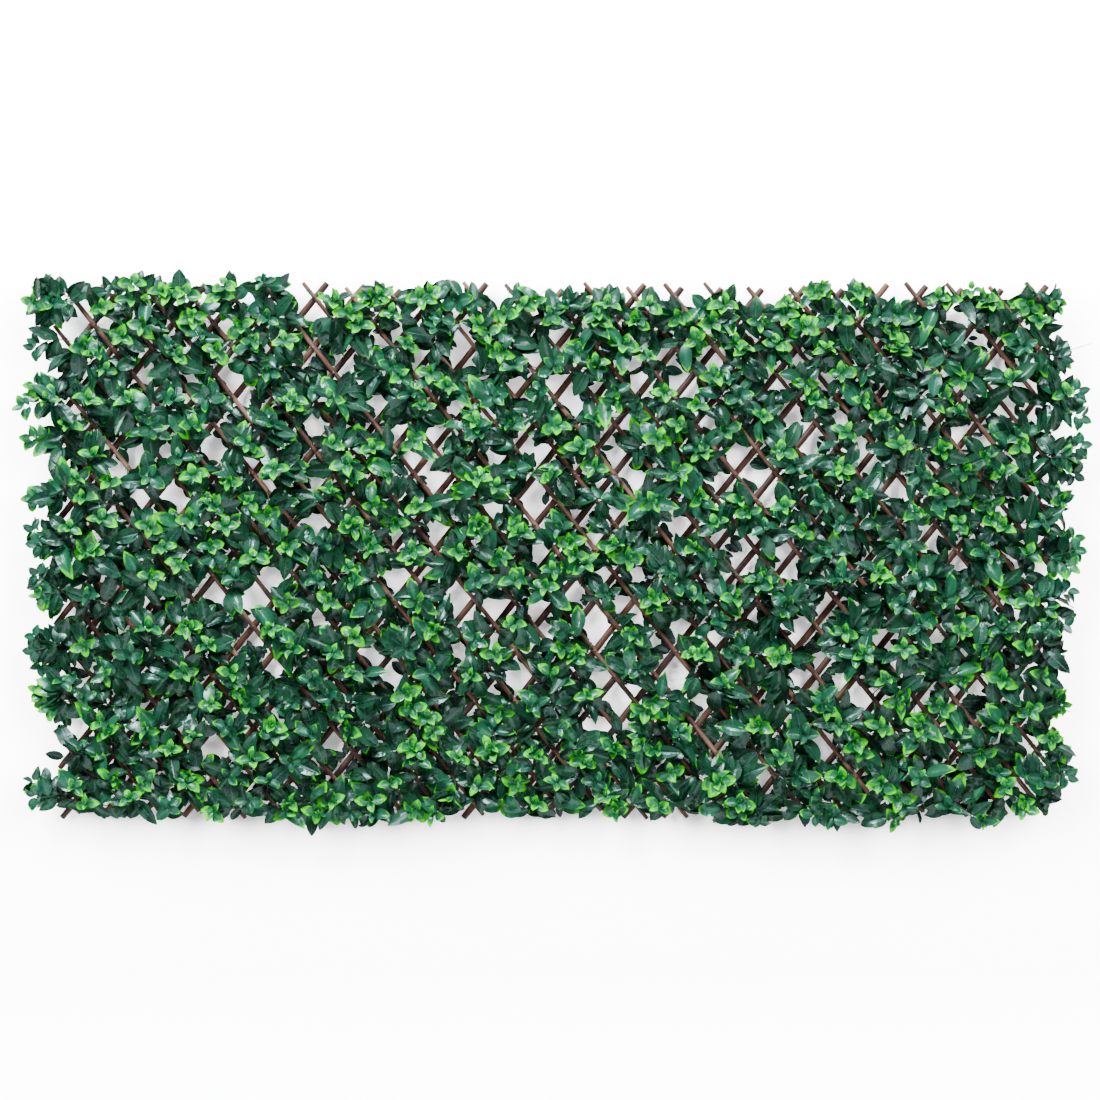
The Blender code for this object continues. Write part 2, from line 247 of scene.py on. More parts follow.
class Nodes:
    # short ways to add and join shader nodes
    def __init__(self, tree):
        self.tree = tree

    def add(self, kind, links=(), **settings):
        node = self.tree.nodes.new("ShaderNode" + kind)
        for key, value in settings.items():
            setattr(node, key, value)
        self.fill(node.inputs, dict(links))
        return node

    def fill(self, sockets, values):
        for name, value in values.items():
            self.set(sockets[name], value)

    def set(self, socket, value):
        if isinstance(value, bpy.types.NodeSocket):
            self.tree.links.new(value, socket)
        else:
            socket.default_value = value

    def math(self, operation, a, b=0.0):
        return self.add("Math", {0: a, 1: b}, operation=operation).outputs[0]

    def plus(self, a, b):
        return self.math("ADD", a, b)

    def minus(self, a, b):
        return self.math("SUBTRACT", a, b)

    def times(self, a, b):
        return self.math("MULTIPLY", a, b)

    def ramp(self, value, low, high, to=(0.0, 1.0)):
        # the first of to below low and the second above high, with a smooth turn between
        ends = {0: value, 1: low, 2: high, 3: to[0], 4: to[1]}
        return self.add("MapRange", ends, interpolation_type="SMOOTHSTEP").outputs[0]

    def mix(self, factor, a, b):
        return self.add("Mix", {0: factor, 6: a, 7: b}, data_type="RGBA").outputs[2]

    def noise(self, place, scale, detail=3.0, rough=0.55):
        settings = {"Vector": place, "Scale": scale, "Detail": detail, "Roughness": rough}
        return self.add("TexNoise", settings).outputs["Fac"]

    def stretch(self, place, scale):
        return self.add("Mapping", {"Vector": place, "Scale": scale}).outputs[0]

    def mark(self, name):
        # the value that the piece's points carry under this name
        return self.add("Attribute", attribute_name=name).outputs["Fac"]

    def bump(self, height, strength, distance):
        return self.add("Bump", {"Strength": strength, "Distance": distance, "Height": height}).outputs[0]

    def use(self, group, **links):
        return self.add("Group", links, node_tree=group).outputs


def startGroup(name, inputs, outputs):
    group = bpy.data.node_groups.new(name, "ShaderNodeTree")
    for way, sockets in (("INPUT", inputs), ("OUTPUT", outputs)):
        for label, kind in sockets.items():
            group.interface.new_socket(label, in_out=way, socket_type="NodeSocket" + kind)
    n = Nodes(group)
    return n, n.tree.nodes.new("NodeGroupInput").outputs, n.tree.nodes.new("NodeGroupOutput").inputs


def startMaterial(name, show=(0.5, 0.5, 0.5)):
    material = bpy.data.materials.new(name)
    material.use_nodes = True
    material.diffuse_color = (*show, 1)
    n = Nodes(material.node_tree)
    return material, n, material.node_tree.nodes["Principled BSDF"]


def colour(*levels):
    # a colour read off a screen, turned to the light values that shaders use
    return (*(((c / 255 + 0.055) / 1.055) ** 2.4 if c > 10 else c / 255 / 12.92 for c in levels), 1.0)


def makeLeafPattern():
    # masks of a leaf from its own map: u runs from stalk to tip, v across with the midrib at a half
    n, given, put = startGroup(
        "leafPattern",
        {"Map": "Vector", "Place": "Vector", "Young": "Float"},
        {"Lime": "Float", "Midrib": "Float", "MintHighlight": "Float", "Veins": "Float", "Mottle": "Float"},
    )
    u, v, _ = n.add("SeparateXYZ", {0: given["Map"]}).outputs
    mottle = n.noise(given["Place"], 70.0, 4.0)
    edge = n.times(n.math("ABSOLUTE", n.minus(v, 0.5)), 2.0)
    roughEdge = n.plus(edge, n.times(n.minus(mottle, 0.5), 0.35))
    # the lime comes in from the tip, and from the rim near it, further on a young leaf
    reach = n.plus(n.times(roughEdge, 0.32), n.times(n.math("POWER", u, 1.4), 0.95))
    low = n.minus(1.08, n.times(given["Young"], 0.68))
    thin = n.minus(0.12, n.times(u, 0.07))
    # a painted highlight of pale mint lies along the midrib and fades towards the rim and the tip
    inward = n.minus(1.0, n.ramp(roughEdge, 0.12, 0.62))
    # side veins leave the midrib slanting towards the tip
    slant = n.minus(u, n.times(edge, 0.2))
    wave = n.math("COSINE", n.times(slant, 2 * math.pi * 7))
    masks = {
        "Lime": n.ramp(reach, low, n.plus(low, 0.17)),
        "Midrib": n.minus(1.0, n.ramp(edge, n.times(thin, 0.35), thin)),
        "MintHighlight": n.times(inward, n.minus(1.0, n.ramp(u, 0.35, 0.95))),
        "Veins": n.times(n.ramp(wave, 0.55, 1.0), n.minus(1.0, n.ramp(edge, 0.75, 1.0))),
        "Mottle": mottle,
    }
    n.fill(put, masks)
    return n.tree


leafTones = {
    "darkest": (0.0002, 0.003, 0.0017, 1),
    "dark": (0.0012, 0.020, 0.0115, 1),
    "grown": (0.005, 0.068, 0.035, 1),
    "young": (0.009, 0.152, 0.024, 1),
    # the colour of the painted highlight along the midrib
    "mintHighlight": (0.07, 0.32, 0.16, 1),
    "lime": (0.066, 0.72, 0.0, 1),
    "vein": (0.03, 0.15, 0.08, 1),
    "underside": (0.010, 0.085, 0.030, 1),
    "sheen": (0.60, 0.97, 0.88, 1),
    "limeSheen": (0.35, 0.95, 0.12, 1),
    "rough": (0.29, 0.5),  # of the top and of the underside
    "shine": (0.62, 0.2),
    "coat": 0.17,
    "coatRough": 0.22,
}


def makeLeafMaterial(pattern, under):
    # Old leaves are dark blue-green and young ones brighter, with a painted highlight of pale mint along the
    # midrib, lime at the tip and paler veins. The underside is greyer and duller, and only the top has a
    # coat.
    material, n, shader = startMaterial("leafUnderside" if under else "leafTop", (0.03, 0.16, 0.1))
    rough, shine = leafTones["rough"][under], leafTones["shine"][under]
    spot = n.add("TexCoord").outputs
    young = n.mark("young")
    masks = n.use(pattern, Map=spot["UV"], Place=spot["Object"], Young=young)
    uneven = n.minus(masks["Mottle"], 0.5)
    # tone: a random darkness on the outer leaves, and painted shade on the inner leaves, which get low tones
    shade = n.ramp(n.plus(n.mark("tone"), n.times(uneven, 0.5)), 0.0, 1.0)
    tint = n.mix(shade, leafTones["darkest"], leafTones["dark"])
    tint = n.mix(n.ramp(young, 0.05, 0.35), tint, leafTones["grown"])
    tint = n.mix(n.ramp(young, 0.35, 0.95), tint, leafTones["young"])
    # painted highlight: pale mint mixed in along the midrib of young leaves
    tint = n.mix(n.times(masks["MintHighlight"], n.times(n.ramp(young, 0.0, 0.6), 0.22)), tint, leafTones["mintHighlight"])
    tint = n.mix(masks["Lime"], tint, leafTones["lime"])
    tint = n.mix(n.times(masks["Midrib"], 0.45), tint, leafTones["vein"])
    tint = n.mix(n.times(masks["Veins"], 0.10), tint, leafTones["vein"])
    if under:
        tint = n.mix(0.45, tint, leafTones["underside"])
    else:
        coat = n.times(n.minus(1.0, masks["Lime"]), leafTones["coat"])
        n.fill(shader.inputs, {"Coat Weight": coat, "Coat Roughness": leafTones["coatRough"]})
    furrows = n.plus(masks["Midrib"], n.times(masks["Veins"], 0.25))
    finish = {
        "Base Color": tint,
        "Roughness": n.plus(rough, n.times(uneven, 0.25)),
        "Specular IOR Level": n.minus(shine, n.times(masks["Lime"], shine * 0.7)),
        "Specular Tint": n.mix(masks["Lime"], leafTones["sheen"], leafTones["limeSheen"]),
        "Normal": n.bump(n.minus(n.times(masks["Mottle"], 0.12), furrows), 0.3, 0.0006),
    }
    n.fill(shader.inputs, finish)
    return material


def makeBarkPattern():
    # peeled willow: long fibres, blotches, and small pale scars. Along has its X along the stick.
    outputs = {"Fibre": "Float", "Blotch": "Float", "Scars": "Float", "Height": "Float"}
    n, given, put = startGroup("barkPattern", {"Along": "Vector"}, outputs)
    fibre = n.noise(n.stretch(given["Along"], (9.0, 260.0, 260.0)), 1.0, 5.0, 0.65)
    blotch = n.noise(n.stretch(given["Along"], (11.0, 40.0, 40.0)), 1.0, 3.0)
    scarPlace = n.stretch(given["Along"], (60.0, 150.0, 150.0))
    cells = n.add("TexVoronoi", {"Vector": scarPlace, "Scale": 1.0}).outputs["Distance"]
    scars = n.minus(1.0, n.ramp(cells, 0.08, 0.22))
    masks = {
        "Fibre": n.ramp(fibre, 0.3, 0.7),
        "Blotch": n.ramp(blotch, 0.38, 0.68),
        "Scars": n.times(scars, n.ramp(blotch, 0.5, 0.6)),
        "Height": n.plus(fibre, n.times(scars, 0.2)),
    }
    n.fill(put, masks)
    return n.tree


barkTones = {
    "backDark": colour(38, 19, 15),
    "backMid": colour(80, 43, 33),
    "backPale": colour(132, 90, 66),
    "frontDark": colour(48, 25, 19),
    "frontMid": colour(112, 70, 55),
    "frontPale": colour(176, 130, 108),
    "cutPale": colour(196, 152, 122),
    "cutDark": colour(134, 92, 70),
    "knot": colour(44, 27, 24),
    "rough": 0.65,
    "shine": 0.4,
    "cutRough": 0.8,
}


def makeBark(pattern, layer):
    # the pattern runs along the layer's sticks, paler on a stick of higher tone and dark at the knots
    material, n, shader = startMaterial(f"{layer}Bark", (0.2, 0.1, 0.07))
    turn = slope if layer == "back" else -slope
    spot = n.add("TexCoord").outputs["Object"]
    place = n.add("Mapping", {"Vector": spot, "Rotation": (0, turn, 0)}).outputs[0]
    masks = n.use(pattern, Along=place)
    tone = n.mark("tone")
    middling = n.plus(n.times(masks["Fibre"], 0.6), n.times(tone, 0.4))
    tint = n.mix(middling, barkTones[layer + "Dark"], barkTones[layer + "Mid"])
    tint = n.mix(n.times(masks["Blotch"], n.times(tone, 0.75)), tint, barkTones[layer + "Pale"])
    tint = n.mix(n.times(masks["Scars"], 0.35), tint, barkTones["cutPale"])
    tint = n.mix(n.times(n.mark("knot"), 0.7), tint, barkTones["knot"])
    finish = {
        "Base Color": tint,
        "Roughness": n.minus(barkTones["rough"], n.times(masks["Fibre"], 0.2)),
        "Specular IOR Level": barkTones["shine"],
        "Normal": n.bump(masks["Height"], 0.5, 0.0008),
    }
    n.fill(shader.inputs, finish)
    return material


def makeCutWood():
    # the sawn end of a stick: growth rings round its middle, from the map, whose u is the way out from there
    material, n, shader = startMaterial("cutWood", (0.5, 0.33, 0.22))
    spot = n.add("TexCoord").outputs
    grain = n.noise(spot["Object"], 900.0, 4.0)
    speck = n.noise(spot["Object"], 260.0, 3.0)
    outward = n.add("SeparateXYZ", {0: spot["UV"]}).outputs[0]
    rings = n.ramp(n.math("SINE", n.times(outward, 2 * math.pi * 4)), -1.0, 1.0)
    tint = n.mix(n.plus(n.times(grain, 0.5), n.times(rings, 0.3)), barkTones["cutPale"], barkTones["cutDark"])
    tint = n.mix(n.ramp(speck, 0.55, 0.75), tint, barkTones["knot"])
    bump = n.bump(grain, 0.5, 0.0004)
    n.fill(shader.inputs, {"Base Color": tint, "Roughness": barkTones["cutRough"], "Normal": bump})
    return material


def makeStemMaterial():
    # moulded stems: dark green, browner and rougher in places
    material, n, shader = startMaterial("leafStem", (0.05, 0.12, 0.06))
    spot = n.add("TexCoord").outputs["Object"]
    blotch = n.noise(spot, 90.0, 3.0)
    tint = n.mix(n.ramp(blotch, 0.35, 0.7), colour(20, 54, 38), colour(66, 98, 50))
    tint = n.mix(n.ramp(n.noise(spot, 26.0, 2.0), 0.55, 0.75), tint, colour(70, 58, 40))
    rough = n.plus(0.35, n.times(blotch, 0.3))
    n.fill(shader.inputs, {"Base Color": tint, "Roughness": rough, "Normal": n.bump(blotch, 0.4, 0.0005)})
    return material


def makeMetal(name, pale, dark, metallic, rough):
    # drawn wire and nails: dull metal with darker tarnish
    material, n, shader = startMaterial(name, pale[:3])
    tarnish = n.noise(n.add("TexCoord").outputs["Object"], 240.0, 4.0, 0.65)
    dulled = n.times(n.ramp(tarnish, 0.5, 0.7), 0.5 * metallic)
    finish = {
        "Base Color": n.mix(n.ramp(tarnish, 0.4, 0.65), pale, dark),
        "Metallic": n.minus(metallic, dulled),
        "Roughness": n.plus(rough, n.times(tarnish, 0.3)),
        "Normal": n.bump(tarnish, 0.3, 0.0003),
    }
    n.fill(shader.inputs, finish)
    return material


leafPattern, barkPattern = makeLeafPattern(), makeBarkPattern()
leafTop, leafUnder = makeLeafMaterial(leafPattern, False), makeLeafMaterial(leafPattern, True)
bark = {layer: makeBark(barkPattern, layer) for layer in ("back", "front")}
cutWood, leafStem = makeCutWood(), makeStemMaterial()
nailSteel = makeMetal("nailSteel", colour(120, 116, 112), colour(58, 46, 40), 0.9, 0.3)
tieWire = makeMetal("tieWire", colour(50, 52, 48), colour(26, 24, 22), 0.7, 0.35)
print("materials made")

# Sticks

stickPlan = {
    "back": {"radius": 0.0064, "taper": 0.12, "bow": 0.0018, "sides": 12, "thickest": 0.0065},
    "front": {"radius": 0.0045, "taper": 0.16, "bow": 0.0012, "sides": 10, "thickest": 0.0049},
    "ringStep": 0.014,
    "fewestRings": 6,
    "bowFrom": 0.6,  # a stick shorter than this bows less
    "taperFrom": 0.7,  # and one shorter than this tapers less
    "bowTurns": (1.5, 3.5),  # half waves of the bow in a stick
    "bend": (0.0002, 9),  # how far a stick wanders towards the wall, and its sine's turn from end to end
    "waver": ((0.025, 61), (0.02, 143)),  # share of the radius, and the sine's turn in a metre
    "anyTurn": (0, 6),  # where a sine starts, in radians
    "knots": 3,
    "knotHalf": 0.006,
    "knotSwell": 0.10,
    "endShare": 0.93,  # the sawn ends are slightly eased
    "endInset": 0.0006,
    "tone": (0.1, 0.95),
    "trim": 0.02,
    "outerShare": 0.5,
    "seed": 11,
}
chance = np.random.default_rng(stickPlan["seed"])


def makeStick(layer, number):
    # A circle carried along the stick's line. The line bows sideways by a slow sine, the radius tapers to the
    # thin end, swells by a bell curve at each knot and wavers by a few hundredths.
    plan = stickPlan[layer]
    trims = chance.uniform(0, stickPlan["trim"], 2)
    start, low, high = stickEnds(layer, number, trims)
    count = max(stickPlan["fewestRings"], int((high - low) / stickPlan["ringStep"]))
    share = np.linspace(0, 1, count)
    reach = low + (high - low) * share
    along, across = rise[layer], np.array([-rise[layer][2], 0, rise[layer][0]])
    halfWaves = within(stickPlan["bowTurns"])
    bow = plan["bow"] * np.sin(share * np.pi * halfWaves + within(stickPlan["anyTurn"]))
    bow = bow * min(1, (high - low) / stickPlan["bowFrom"])
    path = start + reach[:, None] * along + bow[:, None] * across
    bend, turns = stickPlan["bend"]
    bend = bend * np.sin(share * turns + within(stickPlan["anyTurn"]))
    path[:, 1] = lattice[layer + "Middle"] + bend
    way = share if chance.random() < 0.5 else 1 - share
    taper = plan["taper"] * (0.5 - way) * min(1, (high - low) / stickPlan["taperFrom"])
    waver = 1
    for swell, turns in stickPlan["waver"]:
        waver = waver + swell * np.sin(reach * turns + within(stickPlan["anyTurn"]))
    knotAt = chance.uniform(low, high, stickPlan["knots"])
    knot = np.exp(-(((reach[:, None] - knotAt) / stickPlan["knotHalf"]) ** 2)).max(1)
    radius = plan["radius"] * (1 + taper) * waver * (1 + stickPlan["knotSwell"] * knot)
    radius = np.minimum(radius, plan["thickest"])
    radius[[0, -1]] *= stickPlan["endShare"]
    path[[0, -1]] += np.array([[stickPlan["endInset"]], [-stickPlan["endInset"]]]) * along
    skin = tubeSkin(path[None], radius[None], plan["sides"])
    skin["fanUv"][..., 0] = np.array([0.0, 1.0, 1.0])
    marks = {
        "tone": np.full(len(skin["points"]), within(stickPlan["tone"])),
        "knot": np.concatenate([np.repeat(knot, plan["sides"]), [0, 0]]),
    }
    rim = np.zeros(len(skin["points"]), bool)
    rim[: plan["sides"]] = rim[-2 - plan["sides"] : -2] = True
    slots = np.zeros(len(skin["quads"])), np.ones(len(skin["fans"]))
    stick = makePiece(f"{layer}_willow_{stickName(number)}", skin, [bark[layer], cutWood], *slots, marks, rim)
    carrier = wholeNumber(number)
    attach(stick, f"{layer}_{placeName(carrier)}")
    if number == carrier:
        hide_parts(f"{layer}_stick_{placeName(carrier)}")
    if abs(number) > lattice["lastStick"]:
        # a short stick at a corner stays with the rest
        foldTowards(stick)
    return start, low, high


stickSpans = {
    layer: {number: makeStick(layer, number) for number in stickNumbers} for layer in ("back", "front")
}
print("sticks made:", 2 * len(stickNumbers))

# Nails: one through each crossing, carried by the back stick

nailPlan = {
    # the nail's profile from its domed head back to its point: depth, radius
    "profile": [
        (-0.02365, 0.0009), (-0.0234, 0.0018), (-0.0229, 0.0024), (-0.0225, 0.0024),
        (-0.0224, 0.0011), (-0.0020, 0.0011), (-0.0002, 0.0007),
    ],
    "sides": 8,
    "edge": 0.004,  # a crossing nearer than this to the panel's edge has none
}
nailLimits = np.array([lattice["halfWidth"], lattice["halfHeight"]]) - nailPlan["edge"]
crossings = [
    (back, front, *crossing(back, front))
    for back in stickNumbers
    for front in stickNumbers
    if (abs(crossing(back, front)) < nailLimits).all()
]


def makeNails(name, number, wanted):
    # a circle carried along each nail's axis, at the profile's radius
    profile = np.array(nailPlan["profile"])
    places = np.array([nail[2:] for nail in wanted])
    paths = np.zeros((len(wanted), len(profile), 3))
    paths[..., 0], paths[..., 2] = places[:, :1], places[:, 1:]
    paths[..., 1] = profile[:, 0]
    skin = tubeSkin(paths, np.repeat(profile[None, :, 1], len(wanted), 0), nailPlan["sides"])
    nails = makePiece(name, skin, [nailSteel])
    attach(nails, f"back_{placeName(number)}")
    return nails


for number in wholeNumbers:
    name = f"nails_{placeName(number)}"
    # the nail at the lattice's middle is the CAD's own
    along = [nail for nail in crossings if wholeNumber(nail[0]) == number and any(nail[:2])]
    makeNails(name, number, [nail for nail in along if abs(nail[0]) <= lattice["lastStick"]])
    corner = [nail for nail in along if abs(nail[0]) > lattice["lastStick"]]
    if corner:
        foldTowards(makeNails(f"{name}_corner", number, corner))
pin = frame["nodes"]["centre_pin"]
pin.data.materials.clear()
pin.data.materials.append(nailSteel)
print("nails made:", len(crossings))

# Foliage: where the photograph shows leaves, and where it shows the pale backdrop between them

leafEdge = [
    (38, 279), (52, 277), (66, 284), (94, 283), (112, 274), (139, 272), (160, 275), (170, 284), (180, 270),
    (194, 286), (213, 286), (231, 273), (246, 284), (267, 273), (285, 275), (293, 292), (302, 318),
    (326, 318), (330, 292), (347, 288), (370, 286), (384, 277), (393, 282), (403, 300), (413, 284),
    (427, 280), (449, 276), (456, 296), (463, 284), (471, 281), (484, 290), (500, 308), (508, 290),
    (519, 281), (540, 294), (546, 312), (549, 286), (566, 284), (577, 297), (586, 282), (594, 278),
    (618, 282), (632, 312), (638, 280), (651, 277), (665, 303), (678, 298), (692, 305), (710, 294),
    (720, 290), (733, 284), (746, 314), (760, 299), (775, 303), (787, 291), (801, 302), (813, 281),
    (828, 277), (838, 300), (847, 284), (860, 282), (876, 292), (900, 301), (931, 293), (941, 286),
    (955, 300), (968, 287), (976, 298), (992, 290), (1008, 299), (1025, 291), (1053, 293), (1064, 304),
    (1063, 340), (1060, 352), (1072, 362), (1076, 384), (1086, 388), (1073, 404), (1089, 421), (1090, 441),
    (1074, 460), (1040, 464), (1048, 474), (1083, 480), (1067, 509), (1058, 514), (1063, 517), (1083, 532),
    (1084, 548), (1077, 571), (1077, 586), (1056, 602), (1038, 606), (1053, 620), (1070, 633), (1065, 670),
    (1058, 680), (1072, 703), (1060, 716), (1056, 730), (1070, 748), (1064, 764), (1074, 784), (1057, 797),
    (1048, 811), (1020, 815), (1003, 816), (990, 830), (970, 818), (935, 816), (902, 821), (881, 829),
    (860, 820), (829, 827), (806, 827), (798, 815), (765, 826), (730, 827), (710, 821), (690, 818),
    (679, 810), (653, 820), (630, 810), (613, 818), (594, 809), (560, 820), (521, 816), (500, 817),
    (481, 809), (464, 812), (440, 818), (400, 820), (378, 826), (340, 826), (314, 827), (290, 822),
    (270, 824), (240, 818), (236, 806), (227, 822), (210, 821), (200, 811), (177, 818), (150, 818),
    (118, 821), (94, 814), (80, 818), (70, 806), (57, 809), (47, 801), (26, 794), (25, 774), (42, 768),
    (36, 750), (40, 735), (55, 718), (38, 712), (28, 686), (31, 667), (52, 660), (58, 651), (26, 650),
    (26, 633), (44, 618), (31, 600), (45, 588), (31, 567), (45, 559), (27, 544), (24, 526), (29, 515),
    (56, 514), (45, 504), (24, 500), (34, 480), (43, 466), (40, 450), (28, 448), (22, 436), (36, 428),
    (15, 411), (38, 405), (31, 395), (25, 382), (29, 370), (34, 358), (26, 350), (42, 345), (40, 333),
    (28, 316), (28, 299), (38, 293),
]
# pale openings: pixel across, pixel down, radius in pixels
openGaps = [
    (76, 327, 9), (104, 323, 6), (66, 342, 6), (210, 321, 6), (226, 325, 8), (144, 372, 10), (238, 384, 11),
    (240, 396, 8), (222, 372, 6), (189, 379, 6), (75, 405, 6), (314, 426, 10), (342, 363, 10),
    (214, 449, 11), (134, 456, 10), (118, 470, 7), (166, 452, 7), (137, 496, 8), (251, 464, 7),
    (268, 486, 7), (172, 495, 9), (182, 504, 8), (316, 484, 7), (316, 523, 9), (64, 514, 7), (111, 507, 5),
    (461, 318, 8), (461, 336, 8), (398, 334, 8), (379, 339, 6), (420, 358, 7), (461, 356, 11),
    (418, 374, 6), (559, 339, 11), (535, 361, 8), (519, 386, 11), (559, 387, 13), (575, 405, 9),
    (599, 391, 9), (641, 386, 11), (634, 365, 6), (620, 419, 10), (684, 385, 14), (667, 357, 9),
    (712, 356, 12), (710, 422, 7), (379, 403, 9), (401, 431, 8), (437, 436, 10), (434, 448, 8),
    (412, 462, 10), (422, 466, 8), (438, 482, 11), (455, 408, 7), (486, 412, 6), (493, 457, 7),
    (523, 443, 10), (543, 453, 10), (534, 489, 10), (534, 506, 11), (538, 520, 8), (493, 509, 7),
    (436, 530, 8), (436, 544, 8), (398, 540, 8), (540, 553, 9), (581, 517, 9), (594, 540, 9), (616, 456, 9),
    (622, 467, 9), (604, 485, 7), (637, 478, 9), (582, 466, 6), (618, 518, 9), (681, 525, 10),
    (724, 483, 10), (736, 462, 7), (722, 540, 10), (606, 436, 7), (801, 356, 9), (777, 379, 10),
    (822, 379, 8), (793, 414, 10), (813, 430, 9), (811, 445, 9), (841, 417, 7), (869, 462, 10),
    (862, 441, 6), (895, 487, 11), (768, 479, 11), (766, 497, 11), (739, 452, 9), (753, 473, 7),
    (933, 421, 9), (961, 433, 7), (1008, 407, 10), (956, 315, 7), (1001, 363, 8), (985, 339, 6),
    (860, 327, 7), (1030, 384, 7), (1032, 412, 6), (930, 535, 10), (1004, 507, 7), (959, 445, 6),
    (933, 466, 6), (751, 541, 8), (987, 440, 6), (397, 580, 12), (424, 571, 7), (459, 594, 10),
    (464, 610, 11), (493, 608, 11), (507, 608, 8), (540, 611, 11), (573, 592, 10), (597, 612, 11),
    (599, 632, 12), (597, 646, 8), (622, 604, 9), (638, 618, 6), (607, 574, 8), (679, 627, 9),
    (657, 641, 6), (547, 632, 7), (457, 651, 7), (494, 641, 7), (377, 660, 7), (398, 663, 6), (391, 679, 8),
    (519, 678, 13), (602, 676, 12), (616, 693, 12), (620, 704, 9), (590, 723, 8), (604, 725, 8),
    (630, 726, 6), (677, 668, 10), (677, 682, 9), (637, 692, 8), (700, 700, 7), (717, 640, 8),
    (730, 578, 8), (637, 575, 7), (667, 663, 6), (497, 691, 5), (215, 594, 10), (271, 577, 10),
    (260, 592, 11), (250, 602, 8), (252, 622, 7), (257, 641, 7), (271, 660, 9), (274, 669, 7),
    (317, 618, 7), (366, 651, 7), (333, 741, 11), (210, 747, 9), (220, 749, 9), (78, 727, 10), (64, 752, 7),
    (66, 611, 7), (80, 665, 6), (744, 563, 11), (787, 556, 12), (788, 570, 10), (751, 613, 7),
    (832, 600, 9), (827, 612, 8), (803, 626, 10), (800, 640, 9), (824, 660, 9), (800, 679, 9),
    (812, 681, 8), (846, 683, 10), (860, 697, 10), (875, 697, 8), (884, 639, 9), (938, 634, 9),
    (917, 705, 8), (930, 689, 6), (957, 698, 11), (977, 685, 9), (1044, 566, 9), (960, 563, 8),
    (937, 545, 7), (826, 742, 9), (830, 754, 9), (763, 771, 10), (766, 783, 8), (1030, 743, 7),
    (179, 733, 5), (90, 304, 5), (118, 300, 4), (200, 297, 5), (250, 299, 5),
]

mapPlan = {
    "cell": 0.003,
    "halfWidth": 1.08,
    "halfHeight": 0.57,
    "covered": 0.1,  # what is left of the need where a leaf lies
    "bare": 0.9,  # and a cell that needs less than this counts as covered
    "gapCost": 2.6,
    "outsideCost": 1.5,
    "rodHalf": 0.0065,
    "overRod": {"back": 0.55, "front": -0.2},  # how much a leaf is wanted in front of a rod
}
mapHalf = np.array([mapPlan["halfWidth"], mapPlan["halfHeight"]])
need = np.zeros([int(2 * half / mapPlan["cell"]) for half in mapHalf[::-1]])


def cellsAt(points):
    # the row and column of the map that each x, z falls in
    cells = ((points + mapHalf) / mapPlan["cell"]).astype(int)
    return np.clip(cells[..., 1], 0, need.shape[0] - 1), np.clip(cells[..., 0], 0, need.shape[1] - 1)


def fromRod(layer, start):
    # how far each cell of the map lies beside a rod's line
    return np.abs((gridX - start[0]) * rise[layer][2] - (gridZ - start[2]) * rise[layer][0])


def coveredShare():
    return round(float((need[wanted] < mapPlan["bare"]).mean()), 3)


mapX = (np.arange(need.shape[1]) + 0.5) * mapPlan["cell"] - mapPlan["halfWidth"]
mapZ = (np.arange(need.shape[0]) + 0.5) * mapPlan["cell"] - mapPlan["halfHeight"]
gridX, gridZ = np.meshgrid(mapX, mapZ)
# a cell is inside the edge if a level line from it crosses the edge an odd number of times
edgePoints = fromPhoto(leafEdge)
inside = np.zeros(need.shape, bool)
for (x0, z0), (x1, z1) in zip(edgePoints, np.roll(edgePoints, -1, 0)):
    between = (gridZ < z0) != (gridZ < z1)
    inside ^= between & (gridX < x0 + (gridZ - z0) * (x1 - x0) / (z1 - z0 if z1 != z0 else 1e-9))
need[:] = np.where(inside, 1.0, -mapPlan["outsideCost"])
gapRadii = np.array([gap[2] for gap in openGaps]) * photoFit["metresPerPixel"]
for (x, z), radius in zip(fromPhoto(openGaps), gapRadii):
    need[(gridX - x) ** 2 + (gridZ - z) ** 2 < radius**2] = -mapPlan["gapCost"]
wanted = need > 0
for layer, spans in stickSpans.items():
    for start, low, high in spans.values():
        need[wanted & (fromRod(layer, start) < mapPlan["rodHalf"])] *= mapPlan["overRod"][layer]
print("leaf map made:", need.shape)

